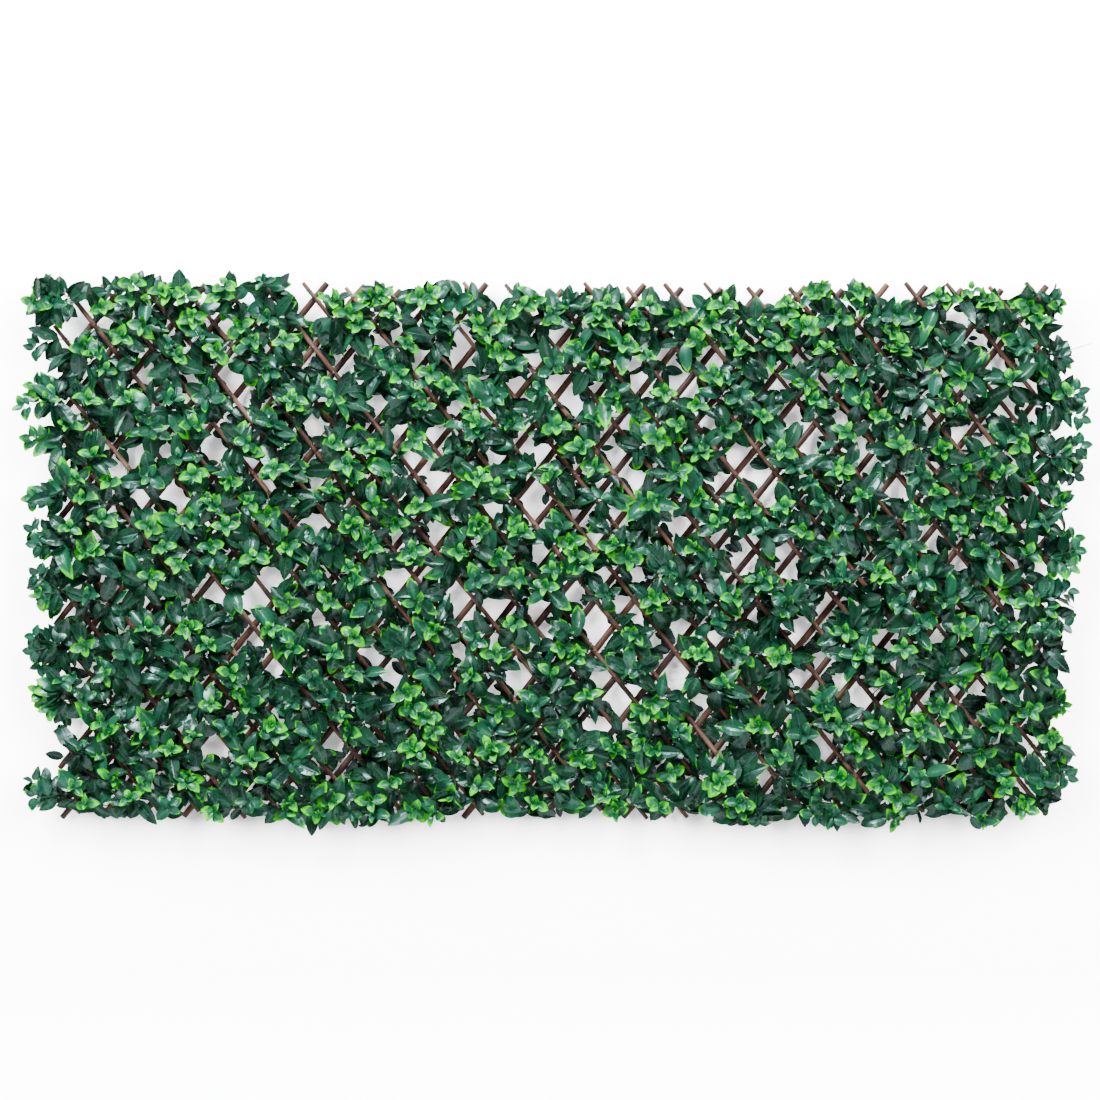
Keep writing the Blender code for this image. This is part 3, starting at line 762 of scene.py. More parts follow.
sprayPlan = {
    "share": 0.86,  # of the crossings that are tried
    "reach": (0.016, 0.044),
    "tries": 16,
    "least": 0.18,
    "rosette": 0.019,
    "depth": (-0.071, -0.058),
    "stemRadius": 0.0009,
    "stemSides": 6,
    "stemRings": 12,
    "onRod": 0.0046,  # from the middle of a front stick to the stem on it
    "tail": 0.009,  # how far the stem's lower end lies back along the stick
    "ties": (-0.0035, 0.0025),
    "fromEnd": 0.008,
    "alongRod": (0.011, 0.02),  # from the crossing to the stem's foot
    "outOfRod": (0.016, -0.003),  # how far the stem runs along the stick, and how far it comes forward there
    "intoHead": 0.022,
    "lean": (9, 0.2, 0.28),  # how the rosette turns outwards, upwards and by chance
    "joints": (0.3, 0.42, 0.56, 0.7, 0.84),  # where large leaves may grow on a stem
    "seed": 5,
}
rosettePlan = {
    # the outer and the inner pair: lengths, lifts in radians, youth
    "pairs": (((0.026, 0.032), (0.0, 0.5), 0.85), ((0.020, 0.026), (0.35, 0.95), 1.0)),
    "size": (0.86, 1.16),
    "spin": 0.35,  # spread of the whole rosette's turn, and of each leaf's
    "turn": 0.2,
    "young": 0.68,  # share of the rosettes that are young and lime
    "ages": ((0.25, 0.5), (0.75, 1.0)),  # of the others and of the young ones
    "age": 0.08,
    "shape": (0.58, 0.72),  # width over length
    "arc": (0.2, 1.2),
    "innerArc": 0.3,  # by how much less the inner pair bends
    "fold": (0.25, 0.65),
    "wave": 0.05,
    "twist": 0.3,
    "budAt": 0.003,
    "bud": (0.0145, 0.0085),
    "budLean": (0.45, 0.2),
    "budOpen": 0.22,
    "budForm": (-0.5, 0.5, 0.0, 0.0),  # arc, fold, wave, twist
}
chance = np.random.default_rng(sprayPlan["seed"])
frontSpan = stickSpans["front"]
leafRows, stemRows = ({number: [] for number in wholeNumbers} for _ in range(2))
cornerSticks = [number for number in stickNumbers if abs(number) > lattice["lastStick"]]
tieRows = {number: [] for number in sorted([*wholeNumbers, *cornerSticks])}
leafJoints = []  # x, y, z, the stem's direction and the body of every place on a stem that can carry a leaf


def bend(p0, p1, p2, p3, share):
    # a smooth curve that leaves p0 towards p1 and reaches p3 from p2
    share = np.asarray(share, float)[..., None]
    left = 1 - share
    return left**3 * p0 + 3 * left**2 * share * p1 + 3 * left * share**2 * p2 + share**3 * p3


def addStem(front, tied, lie, outOfRod, beforeHead, head):
    # A stem lies along lie on its stick, leaves it and ends at head. Two wire ties hold its foot at tied, and
    # go with the stick: a corner stick has its own.
    foot = tied + np.eye(3)[1] * (lattice["frontMiddle"] - sprayPlan["onRod"] - sprayPlan["stemRadius"])
    run, forward = outOfRod
    afterRod = foot + lie * run + np.array([0, forward, 0])
    curve = (foot - lie * sprayPlan["tail"], afterRod, beforeHead, head)
    stemRows[wholeNumber(front)].append(bend(*curve, np.linspace(0, 1, sprayPlan["stemRings"])))
    rows = tieRows[front if front in tieRows else wholeNumber(front)]
    rows.extend((tied + way * rise["front"], rise["front"]) for way in sprayPlan["ties"])
    return curve


def facing(direction, roll):
    # the upper face of a leaf that points along direction: towards the viewer, rolled about the midrib
    viewer = np.array([0.0, -1.0, 0.15])
    up = unit(viewer - direction * (viewer @ direction))
    side = np.cross(up, direction)
    return math.cos(roll) * up + math.sin(roll) * side


def lifted(way, lift):
    # the direction that goes along way in the plane of the lattice and leans to the front by the angle lift
    return np.array([math.cos(lift) * way[0], -math.sin(lift), math.cos(lift) * way[1]])


def addLeaf(number, base, direction, normal, length, width, arc, fold, wave, twist, young, tone):
    phase = chance.uniform(0, 6.3)
    row = [*base, *direction, *normal, length, width, arc, fold, wave, phase, twist, young, tone]
    leafRows[number].append(row)


def addJoint(curve, share, number):
    way = bend(*curve, share + 0.02) - bend(*curve, share - 0.02)
    leafJoints.append([*bend(*curve, share), *way, number])


def claim(spots, left):
    # leaves lie on these cells of the map, which need no more than this much after that
    need[spots] = np.where(need[spots] > 0, left, need[spots])


# Points of the map under a rosette and under a blade
ringAngles = np.linspace(0, 2 * np.pi, 12, endpoint=False)
ringPoints = np.stack([np.cos(ringAngles), np.sin(ringAngles)], -1)
rosetteRing = np.concatenate([[[0, 0]], 0.5 * ringPoints, ringPoints])
bladeShare = np.array([0.15, 0.35, 0.55, 0.75, 0.95])
bladeHalf = np.array([0.55, 1.0, 0.95, 0.62, 0.15]) * 0.5


def freeSpot(x, z):
    # the best free spot near x, z for a rosette, or None
    angles = np.pi / 2 + chance.normal(0, 1.3, sprayPlan["tries"])
    reaches = chance.uniform(*sprayPlan["reach"], sprayPlan["tries"])
    tips = np.array([x, z]) + reaches[:, None] * np.stack([np.cos(angles), np.sin(angles)], -1)
    scores = need[cellsAt(tips[:, None] + sprayPlan["rosette"] * rosetteRing)].mean(1)
    best = scores.argmax()
    return tips[best] if scores[best] >= sprayPlan["least"] else None


def growRosette(number, head, axis, size):
    # an outer and an inner pair of leaves, crosswise, round a closed bud
    spin = chance.normal(0, rosettePlan["spin"])
    east = unit(np.cross(np.array([0, 0, 1.0]), axis) * -1)
    north = np.cross(axis, east)
    if north[2] < 0:
        north, east = -north, -east
    youngest = within(rosettePlan["ages"][chance.random() < rosettePlan["young"]])
    for pair, (lengths, lifts, young) in enumerate(rosettePlan["pairs"]):
        for side in (0, 1):
            turn = spin + side * np.pi + pair * np.pi / 2 + chance.normal(0, rosettePlan["turn"])
            lift = within(lifts)
            out = math.cos(turn) * east + math.sin(turn) * north
            direction = math.cos(lift) * out + math.sin(lift) * axis
            normal = math.cos(lift) * axis - math.sin(lift) * out
            length = size * within(lengths)
            width = length * within(rosettePlan["shape"])
            arc = within(rosettePlan["arc"]) - rosettePlan["innerArc"] * pair
            fold, twist = within(rosettePlan["fold"]), chance.normal(0, rosettePlan["twist"])
            youth = np.clip(young * youngest + chance.normal(0, rosettePlan["age"]), 0.1, 1)
            form = length, width, arc, fold, rosettePlan["wave"], twist, youth, chance.random()
            addLeaf(number, head + axis * 0.002 * pair, direction, normal, *form)
    up, aside = rosettePlan["budLean"]
    lean = unit(axis + up * north * chance.uniform(0.2, 1.2) + aside * east * chance.normal())
    length, width = (size * part for part in rosettePlan["bud"])
    for side in (0, 1):
        out = unit(np.cross(lean, north)) * (1 if side else -1)
        direction = unit(lean + rosettePlan["budOpen"] * out)
        normal = unit(-out + direction * (out @ direction))
        form = length, width, *rosettePlan["budForm"], 0.85 * youngest, chance.random()
        addLeaf(number, head + axis * rosettePlan["budAt"], direction, normal, *form)


def growSpray(back, front, x, z, tip):
    # One spray: tied to the front stick near a crossing, its stem curves out to tip, where its rosette is.
    number = wholeNumber(front)
    size = within(rosettePlan["size"])
    claim(cellsAt(tip + size * sprayPlan["rosette"] * rosetteRing * 0.8), 0.05)
    start, low, high = frontSpan[front]
    along = rise["front"]
    aside = chance.choice([-1, 1]) * within(sprayPlan["alongRod"])
    at = (np.array([x, 0, z]) - start) @ along + aside
    tied = start + np.clip(at, low + sprayPlan["fromEnd"], high - sprayPlan["fromEnd"]) * along
    head = np.array([tip[0], within(sprayPlan["depth"]), tip[1]])
    lie = along if (head - tied) @ along > 0 else -along
    outwards, upwards, spread = sprayPlan["lean"]
    axis = np.array([(tip[0] - x) * outwards, -1.0, (tip[1] - z) * outwards + upwards])
    axis = unit(axis + chance.normal(0, spread, 3))
    curve = addStem(front, tied, lie, sprayPlan["outOfRod"], head - axis * sprayPlan["intoHead"], head)
    growRosette(number, head, axis, size)
    for share in sprayPlan["joints"]:
        addJoint(curve, share, number)


looseSprays = {
    # where the outermost leaf of a spray that stands out past the sticks ends, in pixels: how young it is,
    # where a number below 0 stands for a nearly bare stem
    (36, 282): 0.2, (28, 302): 0.9, (25, 352): 0.1, (24, 383): 0.7, (14, 411): 0.5, (21, 436): 0.6,
    (23, 500): 0.5, (24, 527): 0.1, (28, 546): 0.2, (31, 568): 0.1, (32, 600): 0.7, (26, 634): 0.2,
    (25, 651): 0.1, (30, 668): 0.1, (28, 687): 0.8, (38, 711): 0.6, (25, 775): 0.1, (26, 794): 0.3,
    (1065, 303): 0.1, (1072, 362): 0.0, (1087, 388): 0.2, (1090, 422): 0.3, (1090, 442): 0.2,
    (1075, 459): 0.5, (1084, 480): 0.0, (1067, 509): 0.2, (1084, 534): 0.4, (1084, 548): 0.3,
    (1077, 572): 0.6, (1077, 587): 0.2, (1055, 619): 0.5, (1071, 633): 0.1, (1065, 671): 0.2,
    (1072, 703): 0.8, (1071, 748): 0.6, (1075, 784): 0.3, (1057, 797): 0.1, (1090, 344): -1,
}
loosePlan = {
    "fromEnd": (0.012, 0.01),
    "inward": 0.026,
    "depth": (-0.062, -0.036),
    "pairs": ((0.4, 0.042), (0.64, 0.040), (0.84, 0.032)),  # share of the stem, length
    "barePairs": ((0.5, 0.018),),
    "endLeaf": 0.022,
    "outOfRod": (0.012, -0.004),
    "intoHead": (0.02, 0.004, 0.006),  # back along the stem, towards the wall, and the spread up or down
    "apart": (0.7, 1.15),  # a pair's turn from the stem, its lift and its size
    "lift": (-0.2, 0.5),
    "size": (0.85, 1.15),
    "shape": (0.44, 0.56),
    "arc": (0, 0.8),
    "form": (0.25, 0.08),  # fold, wave
    "twist": 0.4,
    "age": (0.6, 1.1),
    "atEnd": (0.025, 0.027, 0.027),
    "endTurns": (1.35, -1.35),
    "endShape": (0.58, 0.7),
    "endForm": (0.25, 0.06),
}


def looseFoot(front, goal):
    # the place on a front stick from which a loose stem would start: a little inwards of the nearest one
    start, low, high = frontSpan[front]
    outer, inner = loosePlan["fromEnd"]
    at = np.clip((np.array([goal[0], 0, goal[1]]) - start) @ rise["front"], low + outer, high - outer)
    inward = loosePlan["inward"] if at < (low + high) / 2 else -loosePlan["inward"]
    return start + np.clip(at + inward, low + inner, high - inner) * rise["front"]


def growLoose(pixel, young):
    # A long stem from the nearest front stick to just short of the pixel, with leaves in pairs and at the end
    goal = fromPhoto(pixel)
    feet = {front: looseFoot(front, goal) for front in frontSpan}
    front = min(feet, key=lambda f: np.hypot(*(feet[f][[0, 2]] - goal)))
    tied, number = feet[front], wholeNumber(front)
    out = unit(np.array([goal[0] - tied[0], 0, goal[1] - tied[2]]))
    bare = young < 0
    head = np.array([goal[0], within(loosePlan["depth"]), goal[1]])
    head = head - out * (0.0 if bare else loosePlan["endLeaf"])
    along = rise["front"] * (1 if rise["front"] @ out > 0 else -1)
    back, inwards, spread = loosePlan["intoHead"]
    beforeHead = head - out * back + np.array([0, inwards, chance.normal(0, spread)])
    curve = addStem(front, tied, along, loosePlan["outOfRod"], beforeHead, head)
    heading = math.atan2(out[2], out[0])
    for share, size in loosePlan["barePairs" if bare else "pairs"]:
        base = bend(*curve, share)
        for side in (-1, 1):
            turn = heading + side * within(loosePlan["apart"])
            direction = lifted((math.cos(turn), math.sin(turn)), within(loosePlan["lift"]))
            length = size * within(loosePlan["size"])
            claim(cellsAt(base[[0, 2]] + np.outer((0.3, 0.5, 0.7), direction[[0, 2]]) * length), 0.1)
            normal = facing(direction, chance.normal(0, 0.5))
            width = length * within(loosePlan["shape"])
            arc, twist = within(loosePlan["arc"]), chance.normal(0, loosePlan["twist"])
            youth = max(0, young) * within(loosePlan["age"])
            form = length, width, arc, *loosePlan["form"], twist, youth, chance.random()
            addLeaf(number, base, direction, normal, *form)
    if not bare:
        direction = unit(out + np.array([0, -0.3, 0]))
        turns = (chance.normal(0, 0.2), *loosePlan["endTurns"])
        for turn, length in zip(turns, loosePlan["atEnd"]):
            tilted = direction + np.array([0, -chance.uniform(0, 0.7), 0])
            way = unit(math.cos(turn) * tilted + math.sin(turn) * np.array([-out[2], 0, out[0]]))
            normal = facing(way, chance.normal(0, 0.5))
            width = length * within(loosePlan["endShape"])
            arc, twist = within(loosePlan["arc"]), chance.normal(0, 0.3)
            form = length, width, arc, *loosePlan["endForm"], twist, min(1, young + 0.15), chance.random()
            addLeaf(number, head, way, normal, *form)
    addJoint(curve, 0.3, number)


edgeSprays = [
    # middles of the rosettes along the top and bottom edges, in pixels
    (38, 304), (135, 286), (187, 297), (227, 289), (265, 284), (378, 298), (431, 295), (474, 303),
    (523, 308), (568, 308), (608, 308), (648, 308), (723, 307), (783, 316), (857, 309), (895, 316),
    (970, 292), (989, 306), (1056, 307), (133, 798), (216, 810), (288, 808), (317, 810), (352, 811),
    (377, 812), (435, 815), (454, 793), (617, 808), (658, 805), (739, 811), (759, 818), (813, 813),
    (832, 816), (889, 818), (945, 807), (977, 818), (1022, 808),
]
edgeLeaves = [
    # tips of the single leaves that stand out past the top and bottom edges, in pixels
    (38, 278), (52, 277), (120, 272), (167, 281), (180, 270), (231, 273), (263, 273), (286, 276),
    (330, 293), (381, 279), (428, 282), (450, 277), (472, 282), (517, 282), (541, 292), (550, 285),
    (568, 283), (593, 279), (618, 281), (638, 280), (652, 278), (670, 296), (710, 293), (734, 285),
    (756, 300), (788, 291), (816, 279), (828, 277), (847, 283), (862, 282), (876, 294), (931, 295),
    (940, 288), (971, 285), (993, 289), (1024, 291), (1040, 291), (1061, 302), (116, 821), (212, 823),
    (229, 821), (275, 825), (307, 827), (342, 824), (361, 825), (387, 823), (444, 826), (514, 818),
    (578, 816), (615, 820), (653, 820), (671, 816), (714, 822), (739, 826), (762, 824), (805, 827),
    (835, 827), (883, 828), (899, 824), (924, 822), (979, 829), (995, 827), (1049, 815),
]
for pixel, young in looseSprays.items():
    growLoose(pixel, young)
crossingPlaces = np.array([place[2:] for place in crossings])
for pixel in edgeSprays:
    spot = fromPhoto(pixel)
    growSpray(*crossings[np.linalg.norm(crossingPlaces - spot, axis=1).argmin()], spot)
order = chance.permutation(len(crossings))
for k in order[: int(len(order) * sprayPlan["share"])]:
    spot = freeSpot(*crossingPlaces[k])
    if spot is not None:
        growSpray(*crossings[k], spot)
print("sprays grown:", total(stemRows))

bladePlan = {
    "tries": 10,
    "length": (0.040, 0.060),
    "shape": (0.46, 0.56),  # width over length
    "least": 0.38,
    "apart": 1.15,  # radians from the stem to its two leaves
    "swing": 1.0,
    "doubt": 0.07,
    "lift": (0.12, 0.28),  # middle and spread, in radians
    "mostLift": 0.75,
    "roll": 0.38,  # spreads of the roll about the midrib and of the twist
    "twist": 0.4,
    "arc": (0, 1.2),
    "fold": (0.1, 0.5),
    "wave": (0.02, 0.1),
    "clear": (0.004, 0.006),  # from the planes behind and in front
    "young": 0.22,  # share of the leaves that are young
    "ages": ((0, 0.12), (0.25, 0.6)),  # of the others and of the young ones
    "edgeAges": (0, 0.2),
    "edgeLength": (0.03, 0.058),
    "edgeUpright": 0.6,
    "fillShrink": (1.0, 0.85, 0.7, 0.6),  # the leaves of each fill round are smaller
    "fillBlock": 6,  # cells of the map on a side
    "fillBare": 0.2,
    "fillLeast": 0.3,
    "fillReach": 0.075,
    "fillSwing": 0.6,
    "fillStems": 5,
}


def pickBlade(base, angles, lengths, least):
    # The best of several directions and sizes for one leaf, by how much bare map it covers.
    ways = np.stack([np.cos(angles), np.sin(angles)], -1)
    sides = np.stack([-ways[:, 1], ways[:, 0]], -1)
    ahead = (lengths[:, None, None] * bladeShare[None, :, None])[..., None]
    beside = (lengths[:, None, None] * 0.5 * bladeHalf[None, :, None] * np.array([-0.75, 0, 0.75]))[..., None]
    cells = cellsAt(base[[0, 2]] + ways[:, None, None] * ahead + sides[:, None, None] * beside)
    scores = need[cells].mean((1, 2))
    best = (scores + chance.normal(0, bladePlan["doubt"], len(scores))).argmax()
    if scores[best] < least:
        return None, None
    for down, across in ((0, 0), (1, 0), (0, 1), (1, 1), (-1, 0), (0, -1)):
        rows = np.clip(cells[0][best] + down, 0, need.shape[0] - 1)
        columns = np.clip(cells[1][best] + across, 0, need.shape[1] - 1)
        claim((rows, columns), need[rows, columns] * mapPlan["covered"])
    return best, ways[best]


def hangLeaf(joint, way, length, young):
    # one large leaf from a stem's joint along way, tilted no further than the room before the sticks lets it
    base = joint[:3]
    behind, before = bladePlan["clear"]
    deepest = (lattice["leafPlane"] - behind - base[1]) / length
    lift = np.clip(chance.normal(*bladePlan["lift"]), -bladePlan["mostLift"], bladePlan["mostLift"])
    lift = min(max(lift, -deepest), (base[1] - lattice["leafFront"] - before) / length)
    lift = math.asin(np.clip(lift, -0.8, 0.8))
    direction = lifted(way, lift)
    normal = facing(direction, chance.normal(0, bladePlan["roll"]))
    width = length * within(bladePlan["shape"])
    arc, fold, wave = (within(bladePlan[part]) for part in ("arc", "fold", "wave"))
    twist, length = chance.normal(0, bladePlan["twist"]), length / math.cos(lift) * 1.04
    form = length, width, arc, fold, wave, twist, young, chance.random()
    addLeaf(int(joint[6]), base, direction, normal, *form)


def tryBlade(joint, nominal, swing, least, shrink=1.0):
    # one leaf on a stem's joint, if a place for it is bare enough
    angles = nominal + chance.uniform(-swing, swing, bladePlan["tries"])
    lengths = shrink * chance.uniform(*bladePlan["length"], bladePlan["tries"])
    best, way = pickBlade(joint[:3], angles, lengths, least)
    if best is None:
        return False
    young = within(bladePlan["ages"][chance.random() < bladePlan["young"]])
    hangLeaf(joint, way, lengths[best], young)
    return True


leafJoints = np.array(leafJoints)
grown = 0
for pixel in edgeLeaves:
    # a leaf that ends at the pixel, from the joint that lets it stand most upright
    ways = fromPhoto(pixel) - leafJoints[:, [0, 2]]
    lengths = np.linalg.norm(ways, axis=1)
    shortest, longest = bladePlan["edgeLength"]
    upright = np.where((lengths > shortest) & (lengths < longest), np.abs(ways[:, 1]) / lengths, 0)
    best = upright.argmax()
    if upright[best] > bladePlan["edgeUpright"]:
        young = within(bladePlan["edgeAges"])
        hangLeaf(leafJoints[best], ways[best] / lengths[best], lengths[best], young)
        grown += 1
print("edge leaves:", grown, "of", len(edgeLeaves))
for k in chance.permutation(len(leafJoints)):
    joint = leafJoints[k]
    stemWay = math.atan2(joint[5], joint[3])
    for side in (-1, 1):
        nominal = stemWay + side * bladePlan["apart"]
        grown += tryBlade(joint, nominal, bladePlan["swing"], bladePlan["least"])
print("large leaves:", grown, "covered so far:", coveredShare())

# Fill: the barest places get a leaf from a near stem.
block = bladePlan["fillBlock"]
rows, columns = need.shape[0] // block, need.shape[1] // block
for shrink in bladePlan["fillShrink"]:
    bare = np.clip(need[: rows * block, : columns * block], 0, 1)
    bare = bare.reshape(rows, block, columns, block).mean((1, 3))
    filled = 0
    for spot in np.argsort(-bare.ravel())[: int((bare > bladePlan["fillBare"]).sum())]:
        down, across = divmod(spot, columns)
        place = np.array([mapX[across * block + block // 2], mapZ[down * block + block // 2]])
        apart = np.linalg.norm(leafJoints[:, [0, 2]] - place, axis=1)
        near = np.argsort(apart)[: bladePlan["fillStems"]]
        near = near[apart[near] < bladePlan["fillReach"]]
        if len(near):
            joint = leafJoints[chance.choice(near)]
            way = place - joint[[0, 2]]
            nominal = math.atan2(way[1], way[0])
            filled += tryBlade(joint, nominal, bladePlan["fillSwing"], bladePlan["fillLeast"], shrink)
    print("fill leaves:", filled, "covered:", coveredShare())

leafForm = {
    "rings": np.array([0.07, 0.17, 0.3, 0.45, 0.6, 0.75, 0.89]),  # shares of the length
    "across": np.array([-1, -0.5, 0, 0.5, 1.0]),  # and of the half width
    "stalk": 0.08,
    "rootPower": 0.62,
    "tipPower": 0.86,
    "stalkHalf": 0.0006,
    "thick": 0.00045,
    "puff": 1.35,
    "leastArc": 0.02,
    "waves": 11,
    "waveTurn": 1.3,  # how much one rim's wave runs ahead of the other's
}


def leafRings(rows, planes):
    # A leaf blade. Its midrib is a circular arc of the leaf's length, which bends away from the upper face by
    # the angle arc. Half its width is (s / peak)^a * ((1 - s) / (1 - peak))^b, with s the share of the blade
    # past the stalk. Across, the halves rise from the midrib as |v|^puff times the fold, the rim waves as a
    # sine along the length, and the section turns about the midrib by the twist. The underside is one point
    # below the midrib.
    base, direction, normal = rows[:, 0:3], rows[:, 3:6], rows[:, 6:9]
    length, width, arc, fold, wave, phase, twist = (rows[:, k, None] for k in range(9, 16))
    share, across = leafForm["rings"][None], leafForm["across"]
    arc = np.where(np.abs(arc) < leafForm["leastArc"], leafForm["leastArc"], arc)
    blade = np.clip((share - leafForm["stalk"]) / (1 - leafForm["stalk"]), 0, 1)
    a, b = leafForm["rootPower"], leafForm["tipPower"]
    peak = a / (a + b)
    half = width / 2 * (blade / peak) ** a * ((1 - blade) / (1 - peak)) ** b
    half = np.maximum(half, leafForm["stalkHalf"])[..., None]
    lift = half * np.abs(across) ** leafForm["puff"] * fold[..., None]
    angle = share[..., None] * leafForm["waves"] + phase[..., None] + across * leafForm["waveTurn"]
    lift = lift + width[..., None] * wave[..., None] * across**2 * np.sin(angle) * blade[..., None]
    side = np.concatenate([half * across, np.zeros_like(half)], -1)
    lift = np.concatenate([lift, lift[..., 2:3] - leafForm["thick"]], -1)
    turn = (twist * share)[..., None]
    acrossX = side * np.cos(turn) - lift * np.sin(turn)
    liftZ = side * np.sin(turn) + lift * np.cos(turn)

    def midrib(at):
        angle = arc * at
        return length * np.sin(angle) / arc, -length * (1 - np.cos(angle)) / arc, angle

    forward, sink, angle = (part[..., None] for part in midrib(share))
    ahead = (forward + liftZ * np.sin(angle))[..., None] * direction[:, None, None]
    height = (sink + liftZ * np.cos(angle))[..., None] * normal[:, None, None]
    lateral = acrossX[..., None] * np.cross(normal, direction)[:, None, None]
    rings = base[:, None, None] + ahead + lateral + height
    tipForward, tipSink, _ = midrib(np.ones((1, 1)))
    tips = base + tipForward * direction + tipSink * normal
    # a leaf that would reach past the deepest or the foremost plane is moved as a whole
    deepest = np.maximum(rings[..., 1].max((1, 2)), tips[:, 1])
    foremost = np.minimum(rings[..., 1].min((1, 2)), tips[:, 1])
    move = np.minimum(planes[0] - deepest, 0) + np.maximum(planes[1] - foremost, 0)
    move = move[:, None] * np.eye(3)[1]
    return rings + move[:, None, None], base + move, tips + move


def leafPiece(name, rows, planes):
    # One mesh of these leaves as closed bodies. Each point carries how young and how dark its leaf is. The
    # rim is sharp, and the two strips of faces below it take the underside's material.
    rows = np.array(rows)
    rings, base, tips = leafRings(rows, planes)
    along = np.concatenate([[0], leafForm["rings"], [1]])
    v = np.array([0, 0.25, 0.5, 0.75, 1, 0.5])
    skin = skinRings(rings, base, tips, np.tile(along, (len(rows), 1)), v, np.roll(v, -1))
    each = skin["pointsEach"]
    rim = np.zeros((len(rows), each), bool)
    rim[:, -2:] = True
    rim[:, :-2].reshape(len(rows), -1, len(v))[..., [0, 4]] = True
    marks = {"young": np.repeat(rows[:, 16], each), "tone": np.repeat(rows[:, 17], each)}
    slots = (skin["quadSide"] >= 4).astype(int), (skin["fanSide"] >= 4).astype(int)
    return makePiece(name, skin, [leafTop, leafUnder], *slots, marks, rim.ravel())


def hiddenCells(rows, planes):
    # True for every cell of the map that a leaf lies in front of, from a fine grid of points on each blade
    rings, _, tips = leafRings(np.array(rows), planes)
    width = len(leafForm["across"])
    blade = np.concatenate([rings[:, :, :width], np.repeat(tips[:, None, None], width, 2)], 1)[..., [0, 2]]
    for axis, samples in ((1, 24), (2, 11)):
        at = np.linspace(0, blade.shape[axis] - 1.001, samples)
        before = at.astype(int)
        share = (at - before).reshape((-1,) + (1,) * (3 - axis))
        blade = (1 - share) * blade.take(before, axis) + share * blade.take(before + 1, axis)
    hidden = np.zeros(need.shape, bool)
    hidden[cellsAt(blade)] = True
    return hidden


# Inner leaves: they stand out from the flanks of the back sticks into the channels between them, behind the
# front sticks.

outerPlanes = (lattice["leafPlane"], lattice["leafFront"])
innerPlan = {
    "planes": (-0.0006, -0.0127),
    "step": 0.009,
    "fromEnd": 0.01,
    "stickFromEnd": 0.005,
    "rodHalf": 0.0062,
    "depth": (-0.003, 0.002),
    "tries": 8,
    "length": (0.036, 0.056),
    "shape": (0.42, 0.52),
    "swing": 0.75,
    "room": 0.0452,  # the free width between two back sticks
    "halfShape": 0.26,  # half a leaf's width over its length, with some to spare
    "turned": 0.25,  # share of the leaves that show their underside
    "arc": (0.05, 0.5),
    "fold": (0.05, 0.25),
    "wave": 0.02,
    "twist": 0.12,  # spread of the twist and of the roll
    # these ranges keep the inner leaves dark: painted shade, as they lie deep behind the front sticks
    "young": (0, 0.06),
    "tone": (-0.3, 0.5),
    "least": 0.09,
    "shrink": (1.0, 0.9, 0.75, 0.6, 0.5),
    "hidden": 0.05,  # how much a leaf is wanted behind the outer leaves
    "overRod": 0.35,
    "foldedShare": 0.25,
    "seed": 23,
}
chance = np.random.default_rng(innerPlan["seed"])
hidden = np.any([hiddenCells(rows, outerPlanes) for rows in leafRows.values()], 0)
overRods = np.zeros(need.shape, bool)
for layer, spans in stickSpans.items():
    for start, low, high in spans.values():
        overRods |= fromRod(layer, start) < stickPlan[layer]["radius"]
for label, cells in (("hidden by the outer leaves:", hidden), ("with the rods:", hidden | overRods)):
    print(label, round(float(cells[wanted].mean()), 3))
seen = np.where(overRods, innerPlan["overRod"], 1.0)
need = np.where(wanted, np.where(hidden, innerPlan["hidden"], seen), need)


def growInner(before, shrink):
    # Leaves along the channel between stick before and the next one, from its two flanks in turn.
    start, low, high = stickEnds("back", before + 0.25, (0.0, 0.0))
    low, high = low + innerPlan["fromEnd"], high - innerPlan["fromEnd"]
    along = rise["back"]
    across = np.array([-along[2], 0, along[0]])
    apart = 0.25 * (lattice["halfPitch"] * along[2] + lattice["halfRow"] * along[0])
    for k, reach in enumerate(np.arange(low, high, innerPlan["step"])):
        side = 1 if k % 2 else -1
        depth = within(innerPlan["depth"])
        flank = apart - math.sqrt(innerPlan["rodHalf"] ** 2 - depth**2)
        base = start + (reach + chance.normal(0, 0.003)) * along + side * flank * across
        base[1] = lattice["backMiddle"] + depth
        holder = before if side == 1 else before + 0.5
        holderStart, holderLow, holderHigh = stickSpans["back"][holder]
        spare = innerPlan["stickFromEnd"]
        if not holderLow + spare < (base - holderStart) @ along < holderHigh - spare:
            continue
        lean = chance.uniform(-innerPlan["swing"], innerPlan["swing"], innerPlan["tries"])
        angles = math.atan2(-side * across[2], -side * across[0]) + lean
        lengths = shrink * chance.uniform(*innerPlan["length"], innerPlan["tries"])
        reachAcross = np.cos(lean) + innerPlan["halfShape"] * np.abs(np.sin(lean))
        lengths = np.minimum(lengths, innerPlan["room"] / reachAcross)
        best, way = pickBlade(base, angles, lengths, innerPlan["least"])
        if best is None:
            continue
        arc = within(innerPlan["arc"])
        turned = -1 if chance.random() < innerPlan["turned"] else 1
        direction = lifted(way, turned * arc / 2 + chance.normal(0, 0.04))
        normal = turned * facing(direction, chance.normal(0, innerPlan["twist"]))
        length, width = lengths[best], lengths[best] * within(innerPlan["shape"])
        fold, phase = within(innerPlan["fold"]), chance.uniform(0, 6.3)
        twist = chance.normal(0, innerPlan["twist"])
        # the dark age and tone drawn here are painted shade
        young, tone = within(innerPlan["young"]), within(innerPlan["tone"])
        form = length, width, arc, fold, innerPlan["wave"], phase, twist, young, tone
        innerRows[holder].append([*base, *direction, *normal, *form])


